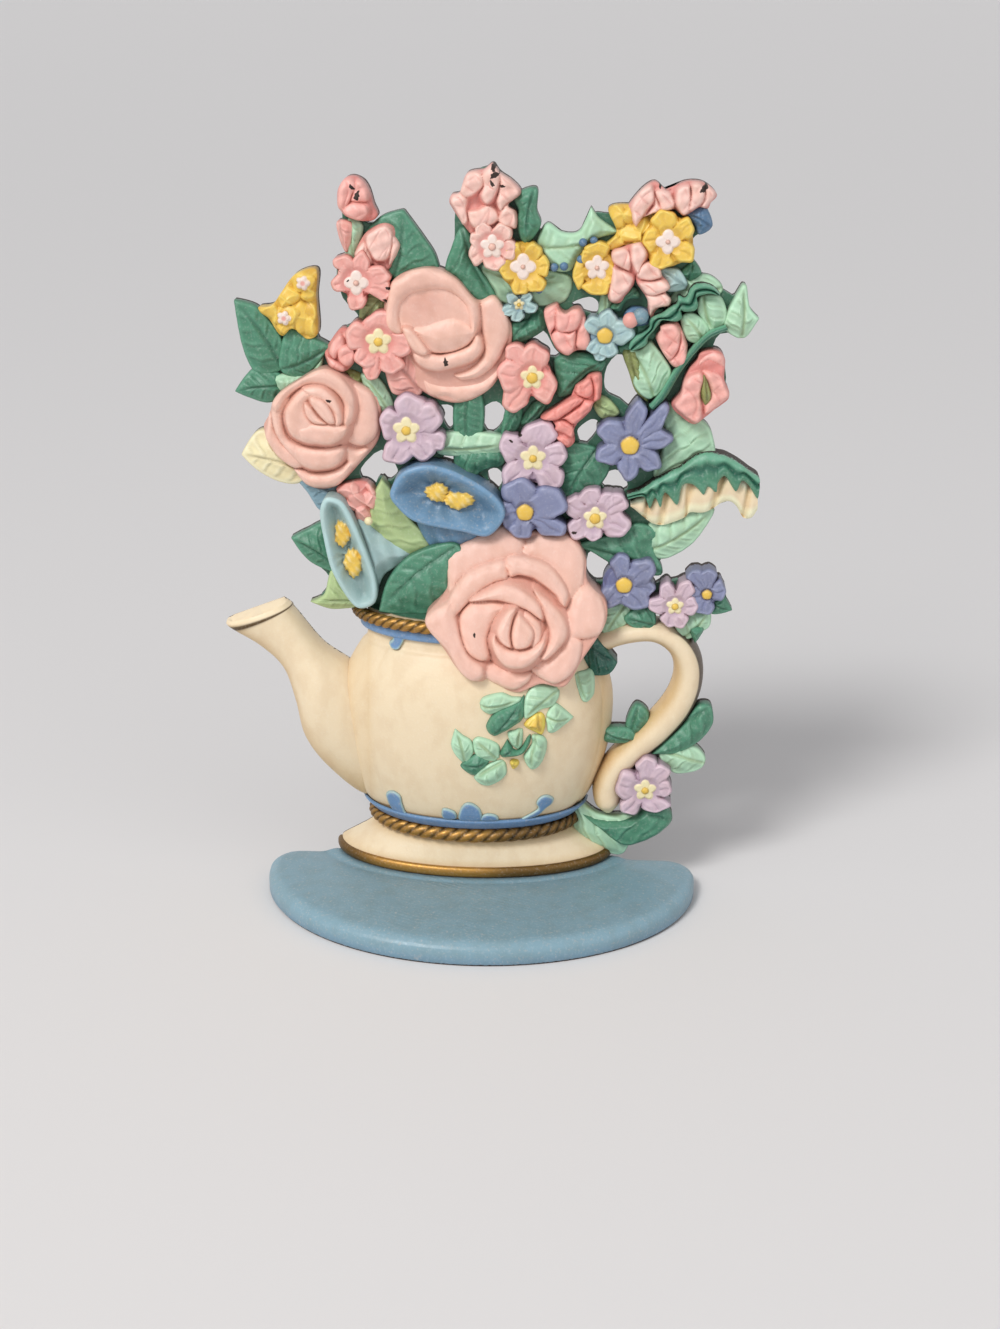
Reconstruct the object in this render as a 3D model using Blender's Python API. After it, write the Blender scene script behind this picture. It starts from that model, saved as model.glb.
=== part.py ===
"""Painted cast iron doorstop: a lobed teapot full of flowers on a half-oval base.

The real doorstop is one flat-backed iron casting. Each object here is one feature of
its pattern, with a hair gap to its neighbours. Sizes are millimetres, and MM turns
them into Blender's metres. X is right, Y is back, Z is up, and the origin is the
middle of the base's underside.
"""
import math

import bmesh
import bpy
from mathutils import Vector
from mathutils.geometry import tessellate_polygon

MM = 0.001
GAP = 0.3

# Base plate: half an ellipse in front, rounded corners at the back
BASE_WIDTH = 167.0
BASE_DEPTH = 78.0
BASE_CORNER = 11.5
BASE_RIM = 9.3
BASE_CROWN = 11.0

# The flat back that the whole casting shares, and the sheet behind the bouquet
BACK = BASE_DEPTH / 2
WEB = 5.0
WALL = 4.5

# Teapot: half-round levels as (height, half width, bulge in front of the back)
POT_X = -3.0
FOOT_BOTTOM = BASE_CROWN + GAP
GOLD_TOP = 15.0
WAIST = 25.0
BODY_BOTTOM = 30.9
TRIM_TOP = 37.0
NECK = 102.0
COLLAR_TOP = 112.8
FOOT = [(FOOT_BOTTOM, 52.2, 26.4), (GOLD_TOP + GAP, 52.2, 26.4), (GOLD_TOP + 0.6, 53.4, 27.4),
        (18.5, 48.5, 26.6), (22.0, 42.5, 25.8), (WAIST, 39.0, 25.0), (WAIST + 0.3, 36.2, 22.8),
        (BODY_BOTTOM - GAP, 36.2, 22.8)]
BODY = [(BODY_BOTTOM, 39.0, 24.6), (34.0, 42.0, 26.4), (38.0, 44.8, 28.0), (45.0, 47.8, 29.6),
        (54.0, 50.6, 31.0), (64.0, 52.4, 31.8), (76.0, 52.9, 32.0), (85.0, 51.6, 31.2),
        (93.0, 48.0, 29.2), (99.0, 44.4, 26.6), (NECK, 42.2, 24.6), (COLLAR_TOP, 42.0, 24.4)]
LOBES = 11
POT_STEPS = 33
LOBE_DEPTH = 1.3
TRIM_THICK = 2.6

# Ropes and the foot's gold edge as (height, half width, bulge, radius)
WAIST_ROPE = ((WAIST + GAP + BODY_BOTTOM) / 2, 39.4, 26.1, 2.6)
NECK_ROPE = (110.0, 45.2, 27.6, 2.6)
GOLD_EDGE = [(FOOT_BOTTOM, 54.8, 29.0), (12.5, 55.4, 29.5), (GOLD_TOP, 54.8, 29.0)]
GOLD_INSIDE = (52.5, 26.7)
NECK_BAND = [(103.2, 44.8, 27.0), (107.0, 44.6, 26.8)]

# Spout: stations from root to mouth as (upper point, lower point, bulge)
SPOUT = [((-52.0, 90.0), (-44.0, 33.5), 21.0), ((-59.5, 95.3), (-60.0, 46.0), 18.5),
         ((-63.5, 99.0), (-69.0, 58.5), 15.5), ((-67.5, 104.0), (-72.5, 73.0), 13.0),
         ((-70.5, 108.0), (-77.0, 86.5), 11.5), ((-72.8, 110.8), (-86.0, 95.5), 11.0),
         ((-73.5, 112.2), (-98.6, 103.4), 11.0)]
MOUTH_DIP = 3.0

# Handle: its middle line as (x, z, half width), from the pot's shoulder to the curled end
HANDLE = [(42.0, 99.5, 4.2), (52.0, 104.0, 4.4), (64.0, 105.6, 4.5), (73.0, 101.5, 5.0),
          (77.6, 94.0, 5.5), (78.0, 85.0, 5.8), (74.6, 75.5, 6.1), (67.5, 66.0, 6.1),
          (59.0, 57.5, 5.7), (52.0, 49.5, 5.6), (49.0, 41.5, 6.0), (48.8, 34.5, 5.2), (49.3, 30.6, 2.2)]
HANDLE_BULGE = 11.0

# Crest heights of the reliefs, measured forward from the flat back
LEAF = 9.5
BLOSSOM = 12.5
BLOOM = 13.0
ROSE = 20.0

# The sheet behind the bouquet, and the gaps that the flowers leave in it
SHEET = [(-46, 113.2), (-62, 114), (-57.5, 123), (-66, 132), (-69.5, 138.5), (-61, 142),
         (-59, 151), (-63, 156), (-67, 161.5), (-76, 163), (-86, 169), (-83, 178), (-78.5, 183),
         (-77, 191), (-87, 194.5), (-84, 200.5), (-83, 204), (-86.5, 212), (-88, 224),
         (-79, 223), (-72, 229.5), (-66.5, 236.5), (-61.8, 237.5), (-62.5, 226), (-61, 215),
         (-57.5, 211.5), (-53, 217), (-45, 221.5), (-51, 229), (-53, 239), (-47.5, 244),
         (-50, 249), (-50.5, 266), (-46, 269.5), (-43, 265), (-43.5, 256), (-37, 255.5),
         (-30, 258), (-23, 248.5), (-18, 240), (-14, 240), (-11, 248.5), (-10.5, 261),
         (-7, 267), (-3.5, 273.5), (2.5, 275), (8, 270), (12, 265), (17, 265.5), (18, 254.5),
         (27, 251.5), (33, 252.5), (37, 259.5), (44.5, 259.5), (51, 261.5), (53.5, 266.5),
         (58, 270), (63, 267.5), (75, 270.5), (79, 267), (76.5, 262), (77.5, 256), (72, 251),
         (71.5, 243), (75, 240.5), (80, 236.5), (88, 231.5), (91.8, 235), (93, 228.5), (96.5, 223),
         (93, 219), (84, 218.5), (81.5, 212.5), (85, 211), (86.5, 198), (79, 188), (81.5, 181),
         (82, 175), (91.5, 171), (99, 164), (99, 153.5), (96, 152.5), (92, 157), (84, 154),
         (82.5, 151), (79, 144), (74, 139.5), (67, 136), (64.5, 131), (61.5, 122), (66, 124.5),
         (72, 125.5), (80, 129), (84, 130.5), (89, 124), (91, 116.5), (85, 113), (46, 113.2)]
SHEET_GAPS = [[(30.5, 228.5), (37, 231), (40.5, 229), (40, 224.5), (33.5, 226)],
              [(15, 214.8), (21, 218.6), (25, 212.5), (27.5, 209.5), (23.5, 208.6), (17.5, 212)],
              [(43.8, 206), (49.5, 210.5), (55.8, 195.5), (53, 190.8), (49, 193.5), (43.3, 197)],
              [(38.7, 186.6), (41.7, 185.5), (40.8, 180.8), (36.2, 176), (33.8, 179.5), (34, 183)],
              [(-0.8, 190), (4.2, 192.6), (7.8, 188.5), (5.4, 182.4), (1.5, 180.3), (-1.3, 185)],
              [(-17.2, 190.3), (-12, 190.6), (-10.4, 185.4), (-13, 181.2), (-15.6, 185)],
              [(45.2, 167), (49.5, 167.6), (53.4, 161.5), (50, 159), (44.8, 160), (42.4, 163.6)],
              [(1, 166.4), (4.7, 167.6), (7.2, 164.2), (5.3, 159), (1.8, 161.5)],
              [(38.7, 135.6), (44, 136.3), (47.4, 129.4), (44.4, 124.4), (38.8, 126.3)],
              [(-17.4, 170), (-13.3, 172.8), (-10.6, 171.8), (-12, 168), (-16, 168)],
              [(-46.5, 165.8), (-38, 173.8), (-31.8, 166), (-35, 161.6), (-38.8, 163), (-41, 159),
               (-45, 161)]]

# Leaves, stalks and the smallest buds as (crest height, outline); a third value of 0
# marks a pointed corner, and the other corners are rounded
LEAVES = [
    (8.0, [(-2, 240), (5, 243.5), (23, 240), (31, 237), (27, 228), (5, 228.5)]),
    (LEAF, [(18, 249), (21.5, 256.5), (27, 253.5), (33, 254), (37, 262.5, 0),
            (40, 258.5), (48, 253.5, 0), (40, 251.5), (34, 246), (30, 240),
            (22, 241)]),
    (8.0, [(-44, 230), (-36, 230), (-36, 222), (-45, 219)]),
    (8.0, [(-52, 203.5), (-44, 201), (-47, 195)]),
    (LEAF, [(-48.5, 257.5), (-43.5, 255), (-44.5, 248), (-46, 242), (-50, 245)]),
    (LEAF, [(-76.5, 200.5), (-66, 203), (-58.5, 208, 0), (-61, 199), (-70, 192),
            (-75, 195)]),
    (LEAF, [(-45, 202), (-38, 200), (-33, 190), (-37, 187), (-43, 195)]),
    (LEAF, [(-90.5, 228, 0), (-82, 225.5), (-74, 215.5), (-72.5, 204),
            (-83, 201.5), (-88, 211)]),
    (9.0, [(-91.5, 194.5, 0), (-84.5, 203), (-75, 202), (-72, 195),
           (-79, 190.5), (-87, 192.5)]),
    (10.5, [(-73.5, 213), (-70, 218.5), (-60, 214.5), (-55.5, 212, 0),
            (-61, 205), (-66, 200), (-74.5, 203)]),
    (LEAF, [(-90, 171, 0), (-83, 180.5), (-72, 178), (-64, 166), (-69, 160.5),
            (-76, 161), (-84, 165)]),
    (LEAF, [(-43, 251), (-37, 258), (-29, 260.5, 0), (-21.5, 250.5),
            (-17.5, 244), (-17, 237), (-26, 234), (-35, 233), (-38, 243)]),
    (LEAF, [(-8.5, 255), (-4.5, 251), (-4.5, 244), (1, 236), (4, 229),
            (-3, 226), (-14, 238), (-12, 248)]),
    (LEAF, [(9, 261), (12.5, 266.5), (17, 267.5), (19.5, 255), (17, 246.5),
            (10.5, 246.5)]),
    (8.0, [(71.5, 238.5), (79.5, 239), (84.5, 234), (78, 229), (70, 226),
           (63, 226), (67, 233)]),
    (9.0, [(73.5, 244.5, 0), (76.5, 240), (72.5, 237), (68.5, 239.5)]),
    (LEAF, [(75, 231), (83.5, 233), (87, 227), (82, 219), (75.5, 223)]),
    (LEAF, [(86, 231.5), (92.5, 237.5, 0), (94, 230), (98.5, 223.5, 0),
            (94, 217.5), (87, 217), (82, 221)]),
    (LEAF, [(68, 227), (77, 226), (81, 219), (75, 212.5), (69.5, 217)]),
    (LEAF, [(53, 242), (57, 232.5), (49.5, 224), (44.5, 227), (50.5, 234)]),
    (8.5, [(41.5, 232.5), (45.5, 232), (44.5, 222.5), (40.5, 223.5)]),
    (LEAF, [(9, 221), (15, 222.5), (19.5, 227), (22, 220), (14, 214.5),
            (9, 214)]),
    (10.0, [(22.5, 207.5), (33, 213), (45, 210), (43.3, 203.5), (36, 199.5),
            (31, 194), (26, 192), (24.5, 199)]),
    (10.5, [(48.5, 212), (59, 216), (65.5, 210), (69.5, 204), (60, 190.5, 0),
            (53.5, 199.5), (51, 207)]),
    (9.0, [(39.5, 194), (48, 194), (52, 187), (42.5, 184.5)]),
    (LEAF, [(-10.5, 195), (-1, 195), (-1.5, 178), (-10.5, 178)]),
    (LEAF, [(-11, 166.5), (-10, 175), (5.5, 176), (7.5, 169.5), (-1.5, 166),
            (-4, 160), (-9.5, 161)]),
    (10.5, [(-16, 180.5), (-5, 181.5), (8, 180), (7.5, 174.5), (-4.5, 172.5),
            (-17, 173)]),
    (9.0, [(8, 191), (13.5, 191), (12.5, 183), (6, 177)]),
    (9.0, [(17.5, 192.5), (23, 193), (17.5, 183.5), (13, 184.5)]),
    (LEAF, [(28, 177), (40.5, 176.5), (46.3, 169.5), (40, 159), (30, 155.5),
            (27, 165)]),
    (LEAF, [(63.5, 193), (70.5, 192), (80.5, 186), (83.5, 180), (83.5, 173),
            (63, 165), (65, 178)]),
    (9.0, [(62, 149), (76.5, 154.5), (85, 154), (81, 145), (75.5, 138.5),
           (66, 134), (60, 139)]),
    (LEAF, [(34, 139), (47, 143.5), (57, 148), (65.5, 144.5), (63, 139),
            (66.5, 128), (50, 131), (40, 136.5)]),
    (9.0, [(-70, 164), (-56, 162), (-52.5, 155), (-60.5, 150), (-65.5, 156.5)]),
    (LEAF, [(-72.5, 139.5, 0), (-67, 142.5), (-59, 145), (-53, 127), (-65, 130)]),
    (LEAF, [(-66, 114.5, 0), (-60.5, 117.5), (-56, 129), (-44, 115), (-57, 111.8)]),
    (13.0, [(-37.5, 164, 0), (-32, 157), (-27, 148.5), (-17, 138), (-30.5, 134),
            (-42, 145), (-41, 157)]),
    (17.5, [(-39, 113.5, 0), (-35.5, 126), (-26, 136.5), (-9, 140.5),
            (-8, 122), (-20, 113.4)]),
    (10.0, [(44, 116), (54, 117), (55.5, 111), (50, 104.8), (45, 104.5)]),
    (11.5, [(53, 112), (62, 118), (65, 112), (63.5, 106.5), (56, 108)]),
    (10.0, [(72, 111), (84, 115.5), (85.5, 109), (82, 106), (76, 103)]),
    (11.5, [(77, 108.5), (83, 108), (80, 102, 0)]),
    (LEAF, [(84, 118.5), (89.5, 120.5), (93.5, 114.8, 0), (86, 113)]),
    (11.0, [(-52.5, 256.2), (-51.5, 249.5), (-49, 245.5), (-46.2, 253), (-47.6, 256.2)]),
    (11.5, [(-36, 209), (-26, 210), (-22.5, 196), (-28.5, 194.5), (-34, 196)]),
    (10.5, [(69.5, 261), (78, 262.5), (80, 256), (75, 252.5)]),
    (10.5, [(61.5, 241.5), (68.5, 243.5), (73, 238), (67, 233.5)]),
    (11.5, [(49.6, 225.5), (53, 228), (58.5, 226.5), (58, 221.5), (50.5, 221.4)]),
]

# Small flowers as (node, centre, radius, petals, turn, crest height)
BLOOMS = [
    ("pale_blue_flower_top", (12.5, 226.5), 5.8, 5, 18, 11.5),
    ("yellow_flower_right", (39.2, 241.2), 8.4, 4, 20, 11.8),
    ("yellow_flower_far_right", (64.8, 251.4), 9.6, 5, 8, 13.0),
    ("yellow_flower_top", (13.8, 241.0), 8.2, 5, 30, 12.6),
    ("pink_flower_top", (2.4, 248.3), 8.4, 5, 0, BLOOM),
    ("pink_flower_upper_left", (-44.6, 235.6), 10.4, 5, 12, BLOOM),
    ("pink_flower_left", (-37.4, 213.2), 11.6, 5, 40, 14.0),
    ("pale_blue_flower", (43.2, 217.8), 8.3, 5, -4, BLOOM),
    ("pink_flower_centre", (16.4, 201.6), 12.2, 5, 20, 13.5),
    ("lavender_flower_left", (-26.4, 182.0), 13.4, 5, 54, 14.0),
    ("lavender_flower_centre", (18.6, 173.4), 12.8, 5, 26, BLOOM),
    ("periwinkle_daisy", (54.2, 179.2), 15.0, 7, 8, 14.5),
    ("lavender_flower_right", (41.2, 151.0), 11.6, 7, 0, BLOOM),
    ("periwinkle_flower_centre", (18.2, 153.0), 12.4, 5, 18, 15.5),
    ("periwinkle_flower_right", (54.0, 125.2), 10.8, 5, 44, BLOOM),
    ("periwinkle_flower_handle", (83.4, 122.6), 8.6, 5, 30, 12.0),
    ("lavender_flower_handle", (70.8, 117.4), 9.8, 5, 10, BLOOM),
]
LOW_FLOWER = ("lavender_flower_low", (63.2, 43.8), 11.8, 6, 24, BLOOM)

# Blossom clusters, buds and flowers seen from the side, as (node, crest height, outline)
BLOSSOMS = [
    ("yellow_blossom_left", BLOSSOM, [(-81.5, 225.5), (-76, 227), (-72, 232), (-68, 237.5),
                                      (-63, 240), (-60, 239.5), (-60.3, 230), (-60, 217),
                                      (-64, 214.5), (-69, 218.5), (-73.3, 215.5), (-77.3, 221)]),
    ("pink_bud_spike", 12.0, [(-47, 272), (-52, 267.5), (-52.3, 263), (-47.8, 256.8), (-42, 256.4),
                              (-41, 261), (-42, 270)]),
    ("pink_blossom_upper_left", 11.5, [(-43.5, 252), (-34.5, 256.5), (-29.5, 247), (-33, 236.5),
                                       (-42.5, 241), (-47.5, 244.5)]),
    ("pink_bud_left", 11.0, [(-58, 211), (-54, 219), (-47, 219.5), (-44, 211), (-49, 202),
                             (-56, 204)]),
    ("pink_blossom_top", 13.0, [(2.6, 277.2), (9.2, 271.5), (12.8, 267), (10.3, 263.5), (11.5, 254),
                                (4, 252), (-8.5, 252.5), (-12.8, 262), (-8.8, 268), (-5.5, 274.8)]),
    ("yellow_blossom_right", 11.0, [(43, 262), (50.5, 263.5), (60, 261), (58.5, 247.5), (50, 246.5),
                                    (41.5, 248.5), (46, 254)]),
    ("pink_blossom_right", 13.0, [(49.5, 262.5), (53.5, 268), (58, 272.2), (63, 269.6), (68, 271.7),
                                  (75.5, 272.5), (81, 268), (78, 262), (71.5, 261), (65, 261.5),
                                  (58, 258.5), (52, 255.5)]),
    ("pink_flower_side_left", 12.5, [(44, 249), (54.2, 250), (56, 246), (51.5, 236.5),
                                     (46.5, 228.5), (42.8, 231), (44.5, 240)]),
    ("pink_flower_side_right", 13.0, [(55, 246), (60, 244.5), (64.5, 237), (66, 230), (59, 223.5),
                                      (56, 232), (53, 237.5)]),
    ("pink_rosebud", 15.0, [(20.3, 225), (22.5, 229.3), (30, 228), (34.5, 228.5), (37.7, 221.5),
                            (37.6, 215), (32, 210), (25.5, 213), (22.5, 219)]),
    ("pink_bud_right", 13.0, [(61.3, 215), (63.5, 222.5), (69.8, 223.3), (73, 215), (74, 209),
                              (68.6, 205.8)]),
    ("pink_tulip", 14.5, [(76.5, 211.5), (85, 213.8), (87, 210), (86.3, 204.5), (88.8, 198),
                          (79, 186.2), (70, 189.8), (67.8, 195), (70.5, 202.5)]),
    ("coral_bud", 13.0, [(31.5, 198.5), (39.5, 205), (43, 203.5), (41.2, 193.5), (34, 184.5),
                         (32.5, 177), (26, 178.5), (20, 187.5), (25.5, 193.5)]),
    ("pink_flower_low_left", 13.5, [(-54.5, 159.8), (-44, 162.5), (-38.5, 156), (-40, 147),
                                    (-45.5, 144), (-50, 152.5)]),
]

# Ribbon-like leaves, as (node, crest height, stations of two edge points)
RIBBONS = [
    ("cream_petal_right", 10.0, [((52.5, 158), (53.5, 153.5)), ((57.5, 160), (57.5, 151.5)),
                                 ((65, 163), (64, 147.2)), ((75, 165), (75, 151.5)),
                                 ((87, 165), (87, 156)), ((92.3, 164), (92.5, 155)),
                                 ((96.3, 162), (96, 150)), ((100.5, 160), (99.5, 151.2))]),
    ("serrated_leaf", BLOOM, [((52, 159), (52.6, 157.6)), ((56.5, 161.7), (59.5, 157)),
                              ((61, 164), (65.5, 154.5)), ((65, 166.6), (68, 159.8)),
                              ((69, 169), (71.5, 156)), ((73, 171.5), (76, 162.5)),
                              ((77, 173.6), (80.5, 159.5)), ((81, 175.2), (82.8, 163.2)),
                              ((85.5, 175.3), (85, 160.5)), ((89, 174.5), (88.5, 165)),
                              ((93, 172.2), (92.5, 161)), ((96, 169.5), (95.5, 164.8)),
                              ((99, 167), (98.5, 160.5)), ((101.8, 164), (100.5, 158.8))]),
    ("stalk_right", 11.5, [((86.5, 223.5), (88.5, 219.5)), ((79.5, 219), (81, 214.8)),
                           ((72, 209.5), (75, 207)), ((65.5, 199.8), (68, 197.8)),
                           ((59, 193), (61.2, 190.8))]),
    ("ribbon_leaf", BLOOM, [((83.6, 233.4), (81, 232)), ((77.3, 236.3), (77.5, 232)),
                            ((72.5, 234.6), (75, 228.8)), ((70.5, 231.6), (70.3, 226.3)),
                            ((66.4, 228.8), (67, 223.4)), ((61, 225.2), (62, 220.4)),
                            ((58.6, 221), (59.8, 215.2)), ((53.7, 217.6), (55.6, 211.8)),
                            ((51.2, 214.6), (51.8, 212.4))]),
]

# Morning glories, each a rim round a sunk throat, with the cup below it
RIMS = [
    ("morning_glory", 18.5, [(-33.8, 161), (-29.5, 168.2), (-20.3, 171.2), (-9.7, 168.8),
                             (3.4, 161.2), (8.3, 153.3), (2.4, 145), (-7.2, 146.3),
                             (-24.8, 149.8), (-32.8, 157)],
     14.0, [(-24, 152), (-20.5, 139), (-12.7, 136.3), (-2, 140.5), (1, 149)]),
    ("pale_morning_glory", 18.0, [(-57.3, 158.2), (-51, 156.3), (-45.2, 144.3), (-39.5, 127.3),
                                  (-40, 118), (-47.3, 116.3), (-55.5, 129.3), (-58.6, 142.3),
                                  (-59.8, 152.8)],
     14.5, [(-47, 148), (-38.5, 143.5), (-26.5, 135.4), (-37, 127), (-42, 117)]),
]

# Roses as (node, crest height, outline)
ROSES = [
    ("rose_left", ROSE, [(-57.3, 204.9), (-66.9, 200.7), (-75.4, 194.3), (-78.6, 186.9),
                         (-80.9, 181.7), (-76.8, 172.8), (-70.7, 167.3), (-65, 160.2),
                         (-55, 160.1), (-44.9, 170.1), (-38.5, 179), (-38.3, 193.2),
                         (-47.3, 200)]),
    ("rose_top", ROSE, [(-21, 241.2), (-10.5, 237.9), (-2.7, 230), (3.4, 231.2), (8.4, 223.9),
                        (9.9, 217.9), (8.2, 208.9), (2.2, 197.9), (-8.6, 192.4), (-19.5, 194.6),
                        (-26.7, 201), (-32, 213.6), (-36.1, 226), (-32.4, 236.6)]),
]
LARGE_ROSE = [(8.6, 148.8), (-4, 144.5), (-13, 138), (-13.2, 124.5), (-20.6, 115.2), (-16.9, 108),
              (-6.3, 95), (3, 91.5), (13.8, 88.2), (22.4, 91.4), (31.4, 90.8), (37.2, 99.5),
              (45.9, 113), (45.7, 121), (38.9, 128), (38, 136), (31.5, 144.6), (18.5, 145.2)]
LARGE_ROSE_EDGE = 22.0
LARGE_ROSE_LEAN = 0.35
LARGE_ROSE_MIDDLE = 118.0

# Leaves that join the handle, down to the foot and up to the pot's shoulder
HANDLE_LEAVES = [
    (9.0, [(36, 36), (46, 29.5), (62, 28.5), (58.5, 18), (54, 12), (42, 16), (36, 22)]),
    (LEAF, [(68, 57), (80, 60), (86, 55), (84.5, 50), (74, 48)]),
    (10.5, [(37.5, 31.5, 0), (46, 27.5), (57, 28), (64, 33), (71, 34), (74.3, 28.5), (68, 21.5),
            (56, 17), (45, 24.5)]),
    (10.5, [(65, 56, 0), (76, 67.5), (82, 76.5), (86.5, 77), (88.2, 73.5), (88, 68.5), (83, 61.5),
            (74, 56.5)]),
    (9.0, [(58.5, 76), (63.5, 73), (63, 67), (57, 62), (55, 68)]),
    (10.0, [(46.5, 66), (57, 66.3), (59.5, 61), (52.5, 60), (46.5, 61)]),
    (14.0, [(38.5, 101), (42.5, 104), (51, 94.5, 0), (47.5, 89.5), (39, 90.5)]),
]

# The sprig that lies on the pot
SPRIG = [
    [(0.4, 85, 0), (4, 88), (15, 87), (13, 82), (4, 81.5)],
    [(16, 87), (20.4, 91), (28.6, 88.4), (27.9, 83), (17.5, 79)],
    [(24.5, 77.5), (28, 81), (34.6, 75, 0), (28.5, 70.2), (24.5, 71)],
    [(-10.4, 71.4), (-8.9, 74, 0), (-1.8, 69), (0, 64), (-7, 60.6), (-10.2, 66)],
    [(-1.5, 69.3), (1, 72), (7.4, 68.4), (8, 62), (1.5, 61.4)],
    [(-1, 52.1), (1.8, 60), (11, 61.6), (10, 55.6), (3.9, 50.4)],
    [(16.4, 67), (24.4, 70), (25, 62.6), (20.8, 56.2), (16.4, 59.5)],
    [(36.5, 87.5), (42, 87.5), (43, 82.5), (39, 75.5, 0), (35.5, 82.5)],
    [(17, 86, 0), (7.5, 82), (2.6, 75.4), (3.8, 72.4), (10.6, 73.4), (16.5, 79)],
    [(10.5, 73.3), (15.4, 74.5), (16, 69.3), (14, 65.6, 0)],
    [(7.3, 64, 0), (10.6, 70), (14, 65.2), (18.2, 71.6), (18.8, 68.6), (13.3, 62.8)],
    [(-7.6, 59.3, 0), (-0.6, 64.2), (3.7, 60.8, 0), (-2.1, 54.8)],
    [(16.3, 75.5), (21.7, 80.6), (24.4, 76), (23.7, 71.8)],
    [(11.2, 60.5), (13.6, 62.2), (15.6, 60), (13.3, 57.6)],
]
SPRIG_THICK = 2.2
TRIM_LOBES = [(-3.7, 39.6, 4.4), (-12.0, 38.0, 3.6), (4.6, 38.0, 3.4), (-35.0, 39.6, 3.4),
              (25.6, 39.8, 3.4)]
NECK_DROP = (-32.0, 102.0, 3.2)

PAINT = {"cream": (232, 210, 176), "blue": (112, 152, 178), "gold": (150, 112, 52),
         "teal": (58, 120, 94), "pink": (226, 152, 146), "rose": (230, 184, 166),
         "coral": (222, 138, 128), "lavender": (200, 178, 194), "periwinkle": (130, 134, 172),
         "yellow": (222, 180, 78), "pale_blue": (156, 188, 196), "pale_yellow": (232, 214, 160)}

finished = []


def make_paint(name):
    """Return the glossy enamel of that name, or the gold paint."""
    material = bpy.data.materials.get(name) or bpy.data.materials.new(name)
    material.use_nodes = True
    shader = material.node_tree.nodes["Principled BSDF"]
    linear = [(channel / 255) ** 2.2 for channel in PAINT[name]]
    shader.inputs["Base Color"].default_value = (*linear, 1.0)
    shader.inputs["Roughness"].default_value = 0.38
    shader.inputs["Metallic"].default_value = 0.6 if name == "gold" else 0.0
    return material


def loops_to_object(name, loops):
    """Join closed loops of equal length into one capped solid, and return its object."""
    mesh = bmesh.new()
    rings = [[mesh.verts.new(Vector(point) * MM) for point in loop] for loop in loops]
    for near, far in zip(rings, rings[1:]):
        count = len(near)
        for i in range(count):
            j = (i + 1) % count
            if len(far) == 1:
                mesh.faces.new((near[i], near[j], far[0]))
            else:
                mesh.faces.new((near[i], near[j], far[j], far[i]))
    mesh.faces.new(rings[0][::-1])
    if len(rings[-1]) > 2:
        mesh.faces.new(rings[-1])
    bmesh.ops.triangulate(mesh, faces=mesh.faces[:], ngon_method="EAR_CLIP")
    bmesh.ops.recalc_face_normals(mesh, faces=mesh.faces[:])
    data = bpy.data.meshes.new(name)
    mesh.to_mesh(data)
    mesh.free()
    solid = bpy.data.objects.new(name, data)
    bpy.context.collection.objects.link(solid)
    return solid


def smooth_outline(points, steps=0):
    """Return a closed curve through the points, pointed where a third value says so."""
    count = len(points)
    steps = steps or (2 if count < 9 else 1)
    places = [Vector(point[:2]) for point in points]
    slopes = []
    for i, point in enumerate(points):
        pointed = len(point) == 3
        slope = (places[(i + 1) % count] - places[i - 1]) * 0.5
        slopes.append(Vector((0, 0)) if pointed else slope)
    curve = []
    for i in range(count):
        j = (i + 1) % count
        span = (places[j] - places[i]).length
        start, end = slopes[i], slopes[j]
        start = start * min(1.0, span / max(start.length, 1e-6))
        end = end * min(1.0, span / max(end.length, 1e-6))
        for k in range(steps):
            t = k / steps
            curve.append(places[i] * (2 * t ** 3 - 3 * t ** 2 + 1) + start * (t ** 3 - 2 * t ** 2 + t)
                         + places[j] * (3 * t ** 2 - 2 * t ** 3) + end * (t ** 3 - t ** 2))
    return curve


def petal_outline(centre, radius, petals, turn, steps=4):
    """Return the lobed outline of an open flower."""
    curve = []
    for i in range(petals * steps):
        angle = math.tau * i / (petals * steps)
        lobe = abs(math.cos(angle * petals / 2)) ** 0.6
        reach = radius * (0.78 + 0.22 * lobe)
        turned = angle + math.radians(turn)
        curve.append(Vector((centre[0] + reach * math.cos(turned), centre[1] + reach * math.sin(turned))))
    return curve


def grow(outline, distance):
    """Move every corner of an outline outwards by about the distance."""
    area = sum(a.x * b.y - b.x * a.y for a, b in zip(outline, outline[1:] + outline[:1]))
    side = 1.0 if area > 0 else -1.0
    grown = []
    for i, here in enumerate(outline):
        before = (here - outline[i - 1]).normalized()
        after = (outline[(i + 1) % len(outline)] - here).normalized()
        normal = Vector((before.y + after.y, -before.x - after.x)) * side
        if normal.length < 1e-6:
            normal = Vector((before.y, -before.x)) * side
        grown.append(here + normal.normalized() * distance * min(1.6, 2.0 / max(normal.length, 1e-6)))
    return grown


def prism(name, outline, front, back):
    """Return a straight column over an outline between two depths."""
    return loops_to_object(name, [[(p.x, depth, p.y) for p in outline] for depth in (back, front)])


def relief(name, outline, rings, back, lean=0.0, middle=0.0, roundness=0.0):
    """Return a domed column: rings are (share of the outline, height above the flat back).

    With roundness the inner rings draw in to circles about the centre, as a rose's do.
    """
    centre = sum(outline, Vector((0, 0))) / len(outline)
    mean = sum((p - centre).length for p in outline) / len(outline)
    loops = [[(p.x, back, p.y) for p in outline]]
    for share, height in rings:
        blend = roundness * min(1.0, 1.6 * (1 - share))
        spots = []
        for p in outline if share else [centre]:
            arm = p - centre
            round_arm = arm.normalized() * mean if share else arm
            spots.append(centre + arm.lerp(round_arm, blend) * share)
        loops.append([(p.x, BACK - height + lean * (p.y - middle), p.y) for p in spots])
    return loops_to_object(name, loops)


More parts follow.
